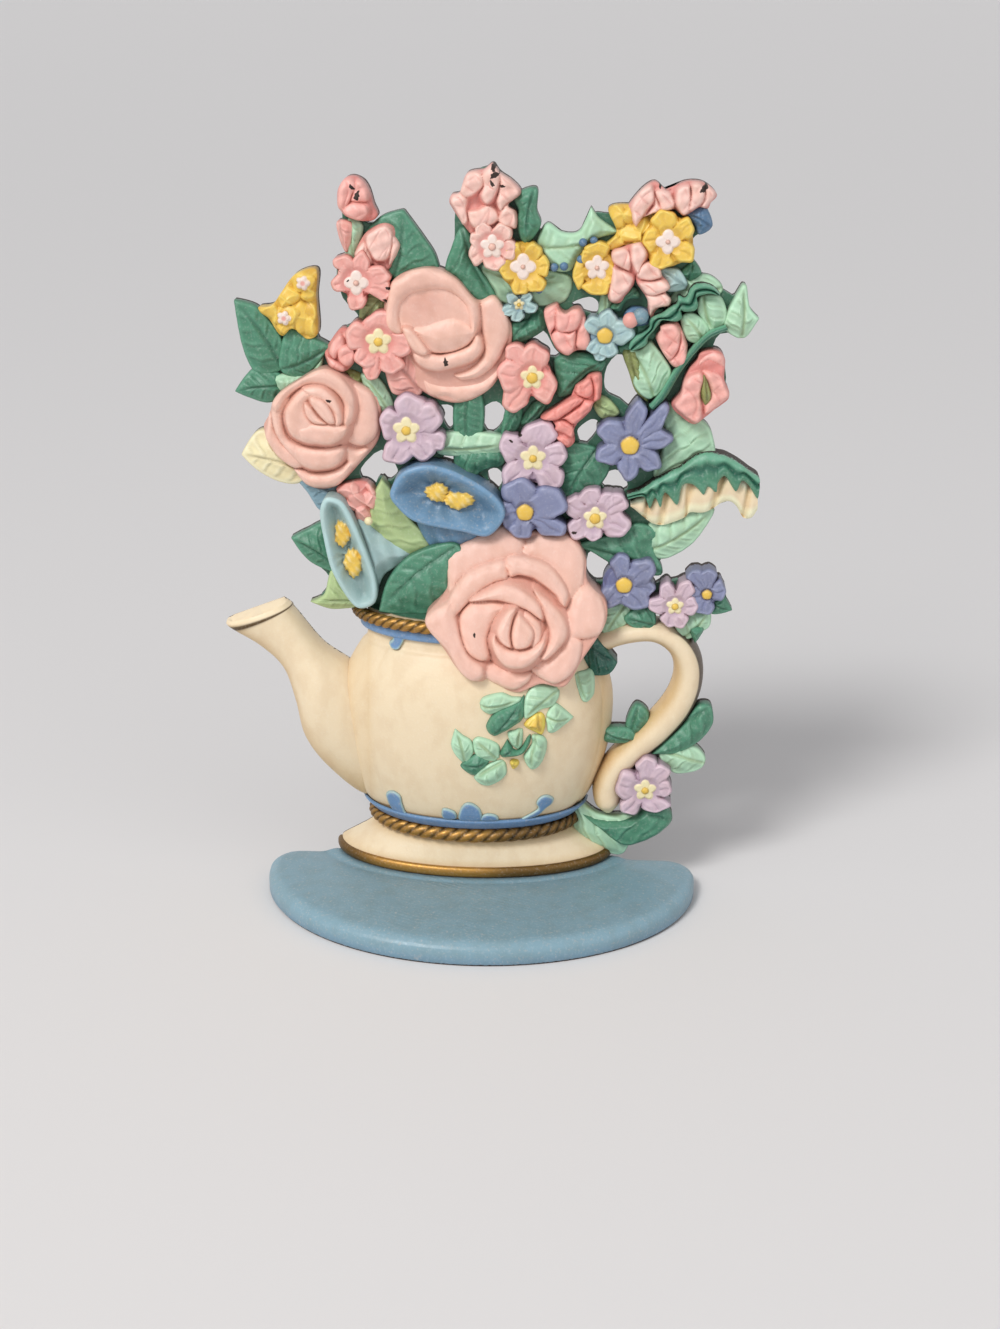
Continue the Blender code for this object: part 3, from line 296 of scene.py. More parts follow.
# Spots where the enamel is knocked off, as (x, z, radius)
CHIPS = [(-13.6, 208, 1.3), (2.9, 276, 1.3), (3.3, 273.4, 1.5), (2.6, 270.4, 1), (6, 269.6, 0.9),
         (-46.5, 268.5, 1), (-44.8, 265.6, 1.5), (76, 269.8, 1.6), (60.8, 270.2, 0.9), (-55.5, 194, 0.9),
         (10, 179.5, 0.8), (13.2, 181.4, 0.8), (33.6, 145.4, 0.9), (-34.2, 233.8, 0.9), (-35.2, 229.4, 0.8),
         (-92, 172.5, 1), (-48.4, 236.2, 0.5), (-2.2, 110.4, 0.8), (-89.5, 205.3, 0.7)]


def smooth(low: float, high: float, value: Field) -> Field:
    """Return 0 below low, 1 above high and a smooth step between."""
    share = np.clip((value - low) / (high - low), 0.0, 1.0)
    return share * share * (3.0 - 2.0 * share)


def bell(value: Field, width: float) -> Field:
    """Return 1 where the value is 0, falling off within that width on both sides."""
    return np.exp(-(value / width) ** 2)


def mixed(first: Field, second: Field, share: Field) -> Field:
    """Return rows of colour that go from the first to the second."""
    return first + (second - first) * np.asarray(share)[..., None]


class Outline:
    """A closed smooth curve through measured points; a third value of 0 marks a sharp corner."""

    def __init__(self, points: list[Point], steps: int = 8) -> None:
        """Lay the curve.

        Args:
            points: The places that the curve goes through.
            steps: How many pieces of curve lie between two of them.
        """
        places = np.array([point[:2] for point in points], dtype=float)
        sharp = np.array([len(point) == 3 for point in points])
        after = np.roll(places, -1, axis=0)
        slopes = (after - np.roll(places, 1, axis=0)) * 0.5
        slopes[sharp] = 0.0
        span = np.linalg.norm(after - places, axis=1, keepdims=True)
        size = np.maximum(np.linalg.norm(slopes, axis=1, keepdims=True), 1e-6)
        start = slopes * np.minimum(1.0, span / size)
        end = np.roll(slopes, -1, axis=0) * np.minimum(1.0, span / np.roll(size, -1, axis=0))
        rows = []
        for t in np.arange(steps) / steps:
            rows.append(places * (2 * t ** 3 - 3 * t ** 2 + 1) + start * (t ** 3 - 2 * t ** 2 + t)
                        + after * (3 * t ** 2 - 2 * t ** 3) + end * (t ** 3 - t ** 2))
        self.curve = np.stack(rows, axis=1).reshape(-1, 2)
        if self.area() < 0:
            self.curve = self.curve[::-1]
        self.centre = self.heart()

    def area(self) -> float:
        """Return the area, which is positive where the curve runs anticlockwise."""
        x, z = self.curve.T
        return float(np.sum(x * np.roll(z, -1) - np.roll(x, -1) * z) / 2)

    def heart(self) -> np.ndarray:
        """Find the place that sees most of the curve, for the mesh to spread from.

        Returns:
            The place.
        """
        low, high = self.curve.min(axis=0), self.curve.max(axis=0)
        grid = np.stack(np.meshgrid(*(np.linspace(a, b, 23)[1:-1] for a, b in zip(low, high))), axis=-1)
        grid = grid.reshape(-1, 2)
        along = np.roll(self.curve, -1, axis=0) - self.curve
        length = np.maximum(np.linalg.norm(along, axis=1), 1e-6)
        arm = grid[:, None, :] - self.curve[None]
        clear = (along[:, 0] * arm[..., 1] - along[:, 1] * arm[..., 0]) / length
        return grid[np.argmax(clear.min(axis=1))]

    def at(self, share: Field) -> Field:
        """Find places along the curve.

        Args:
            share: Shares of its length.

        Returns:
            The places, one in each row.
        """
        closed = np.vstack([self.curve, self.curve[:1]])
        reach = np.concatenate([[0.0], np.cumsum(np.linalg.norm(np.diff(closed, axis=0), axis=1))])
        where = np.mod(share, 1.0) * reach[-1]
        return np.stack([np.interp(where, reach, closed[:, axis]) for axis in (0, 1)], axis=-1)

    def depth(self, x: Field, z: Field) -> Field:
        """Measure how far inside the curve places lie.

        Args:
            x: Places to the right.
            z: Places upwards.

        Returns:
            Their distances from the curve, negative outside it.
        """
        spots = np.stack([x, z], axis=-1)
        result = np.empty(len(spots))
        start, end = self.curve, np.roll(self.curve, -1, axis=0)
        along = end - start
        square = np.maximum((along ** 2).sum(axis=1), 1e-9)
        for first in range(0, len(spots), 4000):
            some = spots[first:first + 4000, None, :]
            arm = some - start
            share = np.clip((arm * along).sum(axis=2) / square, 0.0, 1.0)
            gap = np.linalg.norm(arm - along * share[..., None], axis=2).min(axis=1)
            above = (start[:, 1] > some[..., 1]) != (end[:, 1] > some[..., 1])
            rise = np.where(along[:, 1] == 0.0, 1e-9, along[:, 1])
            cross = some[..., 0] < along[:, 0] * (some[..., 1] - start[:, 1]) / rise + start[:, 0]
            inside = np.sum(above & cross, axis=1) % 2 == 1
            result[first:first + 4000] = np.where(inside, gap, -gap)
        return result


@dataclass(frozen=True)
class Lobe:
    """One oval petal: its middle, its half sizes, its turn in degrees and its rise."""

    x: float
    z: float
    wide: float
    tall: float
    turn: float = 0.0
    rise: float = 0.0
    fringe: float = 0.0

    def reach(self, x: Field, z: Field) -> Field:
        """Measure where places lie on the petal.

        Args:
            x: Places to the right.
            z: Places upwards.

        Returns:
            0 in the petal's middle and 1 on its wavy edge.
        """
        angle = math.radians(self.turn)
        across, up = x - self.x, z - self.z
        first = (across * math.cos(angle) + up * math.sin(angle)) / self.wide
        second = (up * math.cos(angle) - across * math.sin(angle)) / self.tall
        turn = np.arctan2(second, first)
        waver = 1.0 + 0.07 * np.sin(3 * turn + self.x) + 0.05 * np.sin(5 * turn + self.z)
        waver = waver + self.fringe * np.abs(np.sin(6 * turn))
        return np.sqrt(first ** 2 + second ** 2) * waver

    def height(self, x: Field, z: Field, puff: float) -> Field:
        """Shape the petal, rounded inside and steep outside.

        Args:
            x: Places to the right.
            z: Places upwards.
            puff: How far its edge lies below its top.

        Returns:
            The petal's height below its own top.
        """
        reach = self.reach(x, z)
        small = min(self.wide, self.tall)
        dome = puff * (np.sqrt(np.clip(1.0 - reach ** 2.4, 0.0, 1.0)) - 1.0)
        fall = -puff - 3.0 * small * np.maximum(reach - 1.0, 0.0)
        return self.rise + np.where(reach < 1.0, dome, fall)


def bare_selection() -> None:
    """Leave edit mode and deselect everything."""
    if bpy.context.object and bpy.context.object.mode != "OBJECT":
        bpy.ops.object.mode_set(mode="OBJECT")
    bpy.ops.object.select_all(action="DESELECT")


def pick(piece: bpy.types.Object) -> None:
    """Select a piece alone and make it the active one.

    Args:
        piece: The piece.
    """
    bare_selection()
    piece.select_set(True)
    bpy.context.view_layer.objects.active = piece


def edit(piece: bpy.types.Object, *steps: Callable[[], object]) -> None:
    """Change all of a piece's mesh in edit mode.

    Args:
        piece: The piece, which is picked for it.
        *steps: What is run on it in turn.
    """
    pick(piece)
    bpy.ops.object.mode_set(mode="EDIT")
    bpy.ops.mesh.select_all(action="SELECT")
    for step in steps:
        step()
    bpy.ops.object.mode_set(mode="OBJECT")


def face_out() -> None:
    """Turn the faces outwards."""
    bpy.ops.mesh.normals_make_consistent(inside=False)


def corners(piece: bpy.types.Object) -> Field:
    """Find where the piece's vertices are.

    Args:
        piece: The piece.

    Returns:
        Their places in metres, one in each row.
    """
    places = np.empty(len(piece.data.vertices) * 3)
    piece.data.vertices.foreach_get("co", places)
    return places.reshape(-1, 3)


class Casting:
    """One closed piece that is pressed into shape and painted."""

    def __init__(self, name: str) -> None:
        """Take the active object as the piece.

        Args:
            name: The piece's name.
        """
        self.piece = bpy.context.object
        self.piece.name = name
        self.piece.data.name = name

    def press(self, places: Field) -> None:
        """Move the vertices, inside the doorstop's size, and face the skin outwards.

        Args:
            places: Where they go, one in each row.
        """
        inside = np.clip(places, (LEFT, -BACK, 0.0), (RIGHT, BACK, TOP))
        self.piece.data.vertices.foreach_set("co", (inside * MM).ravel())
        edit(self.piece, face_out)
        bpy.ops.object.shade_smooth_by_angle(angle=math.radians(50))

    def paint(self, colours: Field, bare: Field, slot: Slot) -> None:
        """Paint the piece and knock its chips off.

        Args:
            colours: Each vertex's colour.
            bare: Each vertex's share of bare iron.
            slot: The material slot of the finish.
        """
        places = corners(self.piece) / MM
        if len(places) != len(colours):
            raise ValueError(f"{self.piece.name} lost vertices")
        for x, z, radius in CHIPS:
            turn = np.arctan2(places[:, 2] - z, places[:, 0] - x)
            gap = np.hypot(places[:, 0] - x, places[:, 2] - z)
            gap = gap * (1.0 + 0.3 * np.sin(2 * turn + 5 * x) + 0.15 * np.sin(5 * turn + 3 * z))
            chip = smooth(radius * 1.3, radius * 0.2, gap)
            bare = np.maximum(bare, np.where(places[:, 1] < BACK - 3.0, chip, 0.0))
        layer = self.piece.data.color_attributes.new("paint", "FLOAT_COLOR", "POINT")
        layer.data.foreach_set("color", np.column_stack([np.clip(colours, 0.0, 1.0), bare]).ravel())
        self.piece.data.materials.clear()
        self.piece.data.materials.append(ENAMELS[slot].material())

    def stand(self, slot: Slot, *nodes: str) -> None:
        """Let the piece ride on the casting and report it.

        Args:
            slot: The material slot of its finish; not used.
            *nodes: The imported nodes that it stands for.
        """
        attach(self.piece, "root")
        if nodes:
            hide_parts(*nodes)
        log.info("%s: %d vertices", self.piece.name, len(self.piece.data.vertices))


class Ball(Casting):
    """A casting that starts as a ball."""

    def __init__(self, name: str, around: int, along: int) -> None:
        """Add the ball.

        Args:
            name: The piece's name.
            around: How many faces go round the ball.
            along: How many rows of faces lie from its back pole to its front one.
        """
        bare_selection()
        bpy.ops.mesh.primitive_uv_sphere_add(segments=around, ring_count=along, radius=1.0)
        super().__init__(name)
        self.start = corners(self.piece)
        self.around = np.mod(np.arctan2(self.start[:, 1], self.start[:, 0]) / math.tau, 1.0)
        self.along = np.arcsin(np.clip(self.start[:, 2], -1.0, 1.0)) / math.pi + 0.5


def trace(text: str) -> list[Point]:
    """Return the points of an outline written as "x z, x z"; a third value of 0 marks a sharp corner."""
    return [tuple(float(part) for part in point.split()) for point in text.split(",")]


def shapes(text: str) -> list[tuple]:
    """Read a table of outlines.

    Args:
        text: Rows such as "9.5 MINT: x z, x z", with semicolons between them.

    Returns:
        Each row's numbers, enamels and names, with its outline last.
    """
    rows = []
    for row in text.split(";"):
        words, outline = row.split(":")
        values = [Paint.__members__.get(word, word) if word[0].isalpha() else float(word)
                  for word in words.split()]
        rows.append((*values, trace(outline)))
    return rows


# Leaves of the bouquet: crest, enamel, outline
LEAVES = shapes("""
8 MINT: -2 240, 5 243.5, 23 240, 31 237, 27 228, 5 228.5;
9.5 MINT: 18 249, 21.5 256.5, 27 253.5, 33 254, 37 262.5 0, 40 258.5, 48 253.5 0, 40 251.5, 34 246, 30 240,
  22 241;
8 LIGHT_GREEN: -44 230, -36 230, -36 222, -45 219;
8 OLIVE: -52 203.5, -44 201, -47 195;
9.5 MINT: -48.5 257.5, -43.5 255, -44.5 248, -46 242, -50 245;
9.5 MINT: -76.5 200.5, -66 203, -58.5 208 0, -61 199, -70 192, -75 195;
9.5 MINT: -45 202, -38 200, -33 190, -37 187, -43 195;
9.5 TEAL: -90.5 228 0, -82 225.5, -74 215.5, -72.5 204, -83 201.5, -88 211;
9 TEAL: -91.5 194.5 0, -84.5 203, -75 202, -72 195, -79 190.5, -87 192.5;
10.5 TEAL: -73.5 213, -70 218.5, -55.5 212 0, -61 205, -66 200, -74.5 203;
9.5 BUTTER: -90 171 0, -83 180.5, -72 178, -64 166, -69 160.5, -76 161, -84 165;
9.5 TEAL: -43 251, -37 258, -29 260.5 0, -21.5 250.5, -17.5 244, -17 237, -26 234, -35 233, -38 243;
9.5 TEAL: -8.5 255, -4.5 251, -4.5 244, 1 236, 4 229, -3 226, -14 238, -12 248;
11.5 TEAL: 10 265, 13 268, 18 268.5, 18 261, 19.5 256, 15 249.5, 12.5 251, 11 256.5, 11.5 261;
8 MINT: 71.5 238.5, 79.5 239, 84.5 234, 78 229, 70 226, 63 226, 67 233;
9 TEAL: 73.5 244.5 0, 76.5 240, 72.5 237, 68.5 239.5;
11.5 MINT: 76 232, 80 233, 83.5 232, 85.5 228.5, 86 224.5, 84.5 221.5, 81 219, 78 222.5, 75.5 227;
11 MINT: 84.5 221.5, 86 227, 91 236.5 0, 92.5 236, 94 228.5, 97.5 224.5 0, 93.5 218, 90 217.5;
12 MINT: 69.5 224.5, 72.5 226.5, 76.5 225, 79.5 222, 80 218.5, 77 215.5, 73 216, 71 218.5;
10.5 TEAL: 44.5 227.5, 51.5 235, 54 234, 55 231, 50.5 230, 48 226;
9.5 TEAL: 46 216, 52 224.5, 62 227.5, 67 225, 62 218, 56 210.5, 50 210.5;
8.5 MINT: 41.5 232.5, 45.5 232, 44.5 222.5, 40.5 223.5;
9.5 TEAL: 9 221, 15 222.5, 19.5 227, 22 220, 14 214.5, 9 214;
10.5 TEAL: 25 208.5, 32.5 211.5, 43 209, 42 204.5, 38 204, 33 199, 31.5 196, 26.5 195, 26 200.5;
10.5 OLIVE: 49.5 212, 55.5 213, 58.5 197, 59 193.5, 54.5 197.5, 52 204;
12 MINT: 52 212.5, 55.5 213, 59 216, 61 214.5, 67 206, 66 200.5, 62.5 196.5, 59 195, 56 197, 53.5 201,
  54.5 206;
10 LIGHT_GREEN: 40.5 194.5, 42.5 195.5, 46 193.5, 49 189, 43 187, 39.5 191.5;
9.5 TEAL: -10.5 195, -1 195, -1.5 178, -10.5 178;
9.5 TEAL: -11 166.5, -10 175, 5.5 176, 7.5 169.5, -1.5 166, -4 160, -9.5 161;
10.5 MINT: -16 180.5, -5 181.5, 8 180, 7.5 174.5, -4.5 172.5, -17 173;
9 TEAL: 8 191, 13.5 191, 12.5 183, 6 177;
9 TEAL: 17.5 192.5, 23 193, 17.5 183.5, 13 184.5;
9.5 TEAL: 28 177, 40.5 176.5, 46.3 169.5, 40 159, 30 155.5, 27 165;
9.5 MINT: 63.5 193, 70.5 192, 80.5 186, 83.5 180, 83.5 173, 63 165, 65 178;
9 MINT: 62 149, 76.5 154.5, 85 154, 81 145, 75.5 138.5, 66 134, 60 139;
9.5 TEAL: 34 139, 47 143.5, 57 148, 65.5 144.5, 63 139, 66.5 128, 50 131, 40 136.5;
15.4 OLIVE: 78.5 205, 80.5 201, 81.5 197, 80 193.5, 78 196.5, 77.5 201;
9 BLUE: -70 164, -56 162, -52.5 155, -60.5 150, -65.5 156.5;
9.5 TEAL: -72.5 139.5 0, -67 142.5, -59 145, -53 127, -65 130;
9.5 LIGHT_GREEN: -66 114.5 0, -60.5 117.5, -56 129, -44 115, -57 111.8;
13 LIGHT_GREEN: -37.5 164 0, -32 157, -27 148.5, -17 138, -30.5 134, -42 145, -41 157;
17.5 TEAL: -39 113.5 0, -35.5 126, -26 136.5, -9 140.5, -8 122, -20 113.4;
10 MINT: 44 116, 54 117, 55.5 111, 50 104.8, 45 104.5;
11.5 TEAL: 53 112, 62 118, 65 112, 63.5 106.5, 56 108;
10 MINT: 72 111, 84 115.5, 85.5 109, 82 106, 76 103;
11.5 TEAL: 77 108.5, 83 108, 80 102 0;
9.5 TEAL: 84 118.5, 89.5 120.5, 93.5 114.8 0, 86 113;
11 PINK: -52.5 256.2, -51.5 249.5, -49 245.5, -46.2 253, -47.6 256.2;
11.5 PINK: -36 209, -26 210, -22.5 196, -28.5 194.5, -34 196;
11.5 DEEP_BLUE: 70 260.5, 73.5 263, 77 263, 79.5 256.5, 75 253.5, 73.5 256.5;
11.5 PALE_BLUE: 61.5 241.5, 68 241.5, 71.5 237, 71 234.5, 64.5 233.5, 63 237;
11.5 DEEP_BLUE: 49.6 225.5, 53 228, 58.5 226.5, 58 221.5, 50.5 221.4""")

# Leaves that join the handle, down to the foot and up to the pot's shoulder
HANDLE_LEAVES = shapes("""
9 MINT: 36 36, 46 29.5, 62 28.5, 58.5 18, 54 12, 42 16, 36 22;
9.5 MINT: 68 57, 80 60, 86 55, 84.5 50, 74 48;
10.5 TEAL: 37.5 31.5 0, 46 27.5, 57 28, 64 33, 71 34, 74.3 28.5, 68 21.5, 56 17, 45 24.5;
10.5 TEAL: 65 56 0, 76 67.5, 82 76.5, 86.5 77, 88.2 73.5, 88 68.5, 83 61.5, 74 56.5;
9 TEAL: 58.5 76, 63.5 73, 63 67, 57 62, 55 68;
10 TEAL: 46.5 66, 57 66.3, 59.5 61, 52.5 60, 46.5 61;
14 DARK_TEAL: 38.5 101, 42.5 104, 51 94.5 0, 47.5 89.5, 39 90.5""")

# The sprig on the pot, whose crests stand above the pot
SPRIG = shapes("""
3.4 MINT: 0 84, 1.5 87, 8 88.5, 12 87, 15.5 86.5, 14.5 84.5, 4.5 80.5, 1.5 81.5;
3.4 MINT: 16.5 85.5, 18.5 89.5, 21 91, 28 89, 29.5 87.5, 29 84.5, 27 82, 22.5 81, 18.5 78.5, 16.5 78.5;
3.4 MINT: 24.5 78, 26 81.5, 28.5 83, 35 76.5 0, 28 71.5, 25.5 72, 25 75;
3.4 MINT: -9 74.5 0, -6 72, -3 70, -2 66, -3.5 62, -6 60.5, -10.5 67;
3.4 MINT: -2.5 69.5, 0 71.5, 7 68.5, 7.5 63, 5.5 61.5, -0.5 63;
3.4 MINT: -2 54.5, 0 58, 5.5 61.5, 9.5 61.5, 10 55.5, 5 51.5, 1 51.5;
3.4 MINT: 10.5 73, 13 74, 16 74.5, 16 68, 14.5 66 0, 12 68;
3.4 MINT: 16.5 63, 19.5 68, 19.5 71.5, 22.5 71.5, 25 69, 25 64.5, 23.5 60, 21.5 57.5, 19 57.5;
3.4 MINT: 35 92, 39 92.5, 42 92, 42.5 83.5, 40 81 0, 38 82;
3.4 TEAL: 16.5 87.5 0, 16.5 79.5, 15 77, 7.5 72.5, 4.5 72, 2.5 76, 6.5 82, 14 85;
3.4 TEAL: -7.5 59.5 0, -4.5 62.5, -1.5 64.5, 1 64.5, 4 61.5 0, -2 55.5;
3.4 TEAL: 7.5 64.5, 10.5 70.5 0, 13.5 66, 16 67.5, 17.5 70.5, 19 72 0, 19 69, 16 64, 9 63;
3.4 YELLOW: 16.5 76, 21.5 80.5, 24 79, 24.5 75.5, 23.5 71.5, 21 72.5;
3.4 YELLOW: 11.5 60.5, 12 62, 14 62, 15 60.5, 14 58.5, 12.5 58""")

# Open flowers: node, enamel, centre x and z, crest, star's radius, points and enamel, button's radius,
# then the petals as x, z, half width, half height, turn and rise
BLOOMS = shapes("""
pale_blue_flower_top PALE_BLUE 12.2 228.5 11.5 2 5 BUTTER 0.8: 8.3 226.3 2.8 2.1 20, 9.7 230.5 2.1 2.1,
  15 231 2.1 2.1, 16.1 227.5 2.8 2.1 -20, 11.6 224.6 2.5 2.5;
yellow_flower_right YELLOW 39.5 241.9 11.8 4.3 5 STAR_PINK 0.9: 39.7 248.1 4.5 2.8,
  33.2 239.4 2.1 5.3 0 -0.6, 39.7 234.9 5.3 2.8, 43.8 239.5 2.8 4.2 0 -0.5, 36.3 245.3 2.8 2.8;
yellow_flower_far_right YELLOW 64 251.4 13 4.2 4 STAR_PINK 0.9: 62.6 258.9 4.8 3.4, 69.7 255.9 3.4 3.8,
  70 247.7 3.8 3.8, 61.8 244.8 4.2 3.1, 58 251.7 2.8 4.5 0 -0.6;
yellow_flower_top YELLOW 13.5 242 12.6 4.5 4 STAR_PINK 0.9: 9.9 247.5 2.8 3.1 20, 17 247.2 3.1 3.1 -10,
  20.2 242.1 2.8 3.8, 18.2 236.1 3.5 3.2, 12.5 235 3.2 3.2, 8.3 240.8 3.2 3.9;
pink_flower_top PALE_PINK 2.6 248.8 13 4.2 5 STAR_PINK 1.4: -0.6 254.3 3.1 3.1, 6 253.7 3.8 3.1,
  8.2 247.8 3.1 3.8, 3.3 243.3 4.2 2.8, -2.7 246 3.1 3.8, -3 251.1 2.4 2.8;
pink_flower_upper_left PINK -45.5 235.5 13 4.3 4 STAR_PINK 1.1: -43.6 242.2 3.2 4.2, -38 238.1 4.6 3.5,
  -36.3 232.9 3.5 3.9, -45.6 228.9 3.5 3.2, -50.5 235.1 4.2 3.2, -49.6 242.1 4.2 2.8 -10, -49 239.3 2.8 3.5;
pink_flower_left PINK -37.8 214.9 14 4.7 5 BUTTER 1.7: -36.3 221.4 6.4 4.6, -30.3 214 4.7 4.7,
  -33.3 206.8 4.7 3.6, -40.5 203.7 3.2 2.9 0 -0.8, -42.6 209.5 4 4.7 20, -45 216.6 5 5;
pale_blue_flower PALE_BLUE 42.9 218.2 13 0 5 BUTTER 2.9: 43.8 223.9 3.5 3.2, 48.9 219.4 4.3 4.6,
  44.1 213.3 3.6 3.2, 39.1 213.9 2.8 2.5, 38.6 221.7 3.5 3.2, 41.4 210.7 2.5 1.8 0 -1;
pink_flower_centre PINK 17.3 202.8 13.5 4.3 5 BUTTER 2.1: 11.4 211.7 4.3 3.2, 17.9 210.1 5.4 4.6,
  21.6 199.3 4.7 5.8, 9.7 203.4 5 6.1, 10.9 194.4 4.7 4.7 0 -0.8;
lavender_flower_left LAVENDER -28.1 182.8 14 4.9 5 BUTTER 1.8: -26.9 191.2 5.8 5.1, -19.7 187.4 4.4 5.8,
  -22.3 175.9 5.2 4.4, -31.5 174.6 5.5 4.8, -33.9 184.9 4 5.9, -16.9 178.9 3.3 3.7 0 -1.2;
lavender_flower_centre LAVENDER 18 173.1 13 4.7 5 BUTTER 1.5: 20.1 182 6.9 4.7 8, 9.6 177 4 5.5,
  26.3 174.7 4.4 4.4, 11.5 166.2 5.2 5.5, 24.3 166.1 5.2 5.2;
periwinkle_daisy PERIWINKLE 53 178.9 14.5 0 5 BUTTER 3.4: 54.8 189.2 3.6 6.1 -25, 62.4 188.3 2.9 6.9 -32,
  62.6 180.9 5.8 3.6 12, 60 173.5 4.8 4 -40, 52.9 170.8 4 5.1, 45.5 175.4 4.8 4 10, 46 183.6 4.7 4.7;
lavender_flower_right LAVENDER 41.1 151 13 4.3 5 BUTTER 2.1: 39 159.2 4.8 3 20, 45.3 157.9 3 3.3,
  49.3 156.8 3.7 4.1, 33.3 155 3.3 4.5, 49.2 148.5 4.9 5.2, 40.5 144.9 3.7 2.6, 34.9 146.6 4.1 4.1;
periwinkle_flower_centre PERIWINKLE 15.4 153.4 15.5 0 5 BUTTER 3.2: 13.2 160.9 6.7 4.8,
  24.2 157 6.3 6.3 0 0.4, 25.4 147.5 5.6 3.4, 14.1 146.9 4.5 3.7, 9.6 152.1 4.1 5.2 0 -1.2;
periwinkle_flower_right PERIWINKLE 52.5 125.5 13 0 5 BUTTER 3.1: 51.1 133.6 3.8 3.8, 59.3 131 4.9 4.9,
  57.1 120.1 5.7 4.6, 47.8 120.7 4.6 4.2, 60.7 124.1 3.4 3.4 0 -0.8;
periwinkle_flower_handle PERIWINKLE 83.4 122.3 12 0 5 BUTTER 2: 83.4 129 3.8 3, 87.7 123.6 2.7 4.2,
  82.5 117.2 4.2 3.1, 78.6 129.2 3 2.6 30, 79.7 121.1 2.7 4.6;
lavender_flower_handle LAVENDER 71.7 117.7 13 3.3 5 BUTTER 1.4: 68.5 123.5 3 3.4, 75.5 124.4 3.4 3.4,
  76.5 117.8 4.2 3.8, 73.7 112.3 3.1 3.4 20, 70 112.6 3.4 3.4 -20, 65.3 117.9 3.8 3.4;
lavender_flower_low LAVENDER 63.1 42.8 13 4.3 5 BUTTER 1.5: 63.5 52.9 4.4 3.6 10, 68.9 50.1 3.6 3.6 30,
  70 43.4 3.6 3.6, 67.1 36.6 5.7 3.2, 57.5 35.5 4 3.6, 56.1 44.3 4.4 6.4""")

# Ruffled blossoms: node, enamel, level, outline, and petals as above
CLUSTERS = [
    ("yellow_blossom_left", Paint.YELLOW, 11.5,
     """-81.5 225.5, -76 227, -68 237.5, -60 239.5, -60.3 230, -60 217, -64 214.5, -69 218.5, -73.3 215.5,
     -77.3 221""",
     """-64.9 235.4 4.6 3.9 0 0.5, -62.9 230.8 2.8 2.8, -69.7 230 4.6 3.2 20, -72 223.6 5.7 3.9 0 0.5,
     -76.7 224.6 4.3 2.9 -20, -65.2 222.6 3.6 5.7, -71.8 219.6 3.2 2.9, -62.8 219.1 2.9 3.6"""),
    ("yellow_blossom_right", Paint.YELLOW, 10.5,
     "43 262, 50.5 263.5, 60 261, 58.5 247.5, 50 246.5, 41.5 248.5, 46 254",
     """46 259.4 2.8 4.1, 51.2 259.8 3.4 3.4 0 0.3, 55.5 256.5 4.1 3.1, 50.7 253.6 4.5 3.1 0 0.3,
     44.5 250.1 4.2 2.8 10, 55 250.9 3.5 3.1"""),
    ("pink_flower_low_left", Paint.PINK, 12,
     "-54.5 159.8, -44 162.5, -38.5 156, -40 147, -45.5 144, -50 152.5",
     """-49.5 159 4.1 3.4, -46.3 154.9 3.8 3.8 0 0.6, -41.8 156.2 3 3.4, -41.4 160.3 1.9 3 20 -0.6,
     -44.9 150 3 3.8 0 0.3, -48.5 154.1 2.6 2.6"""),
]

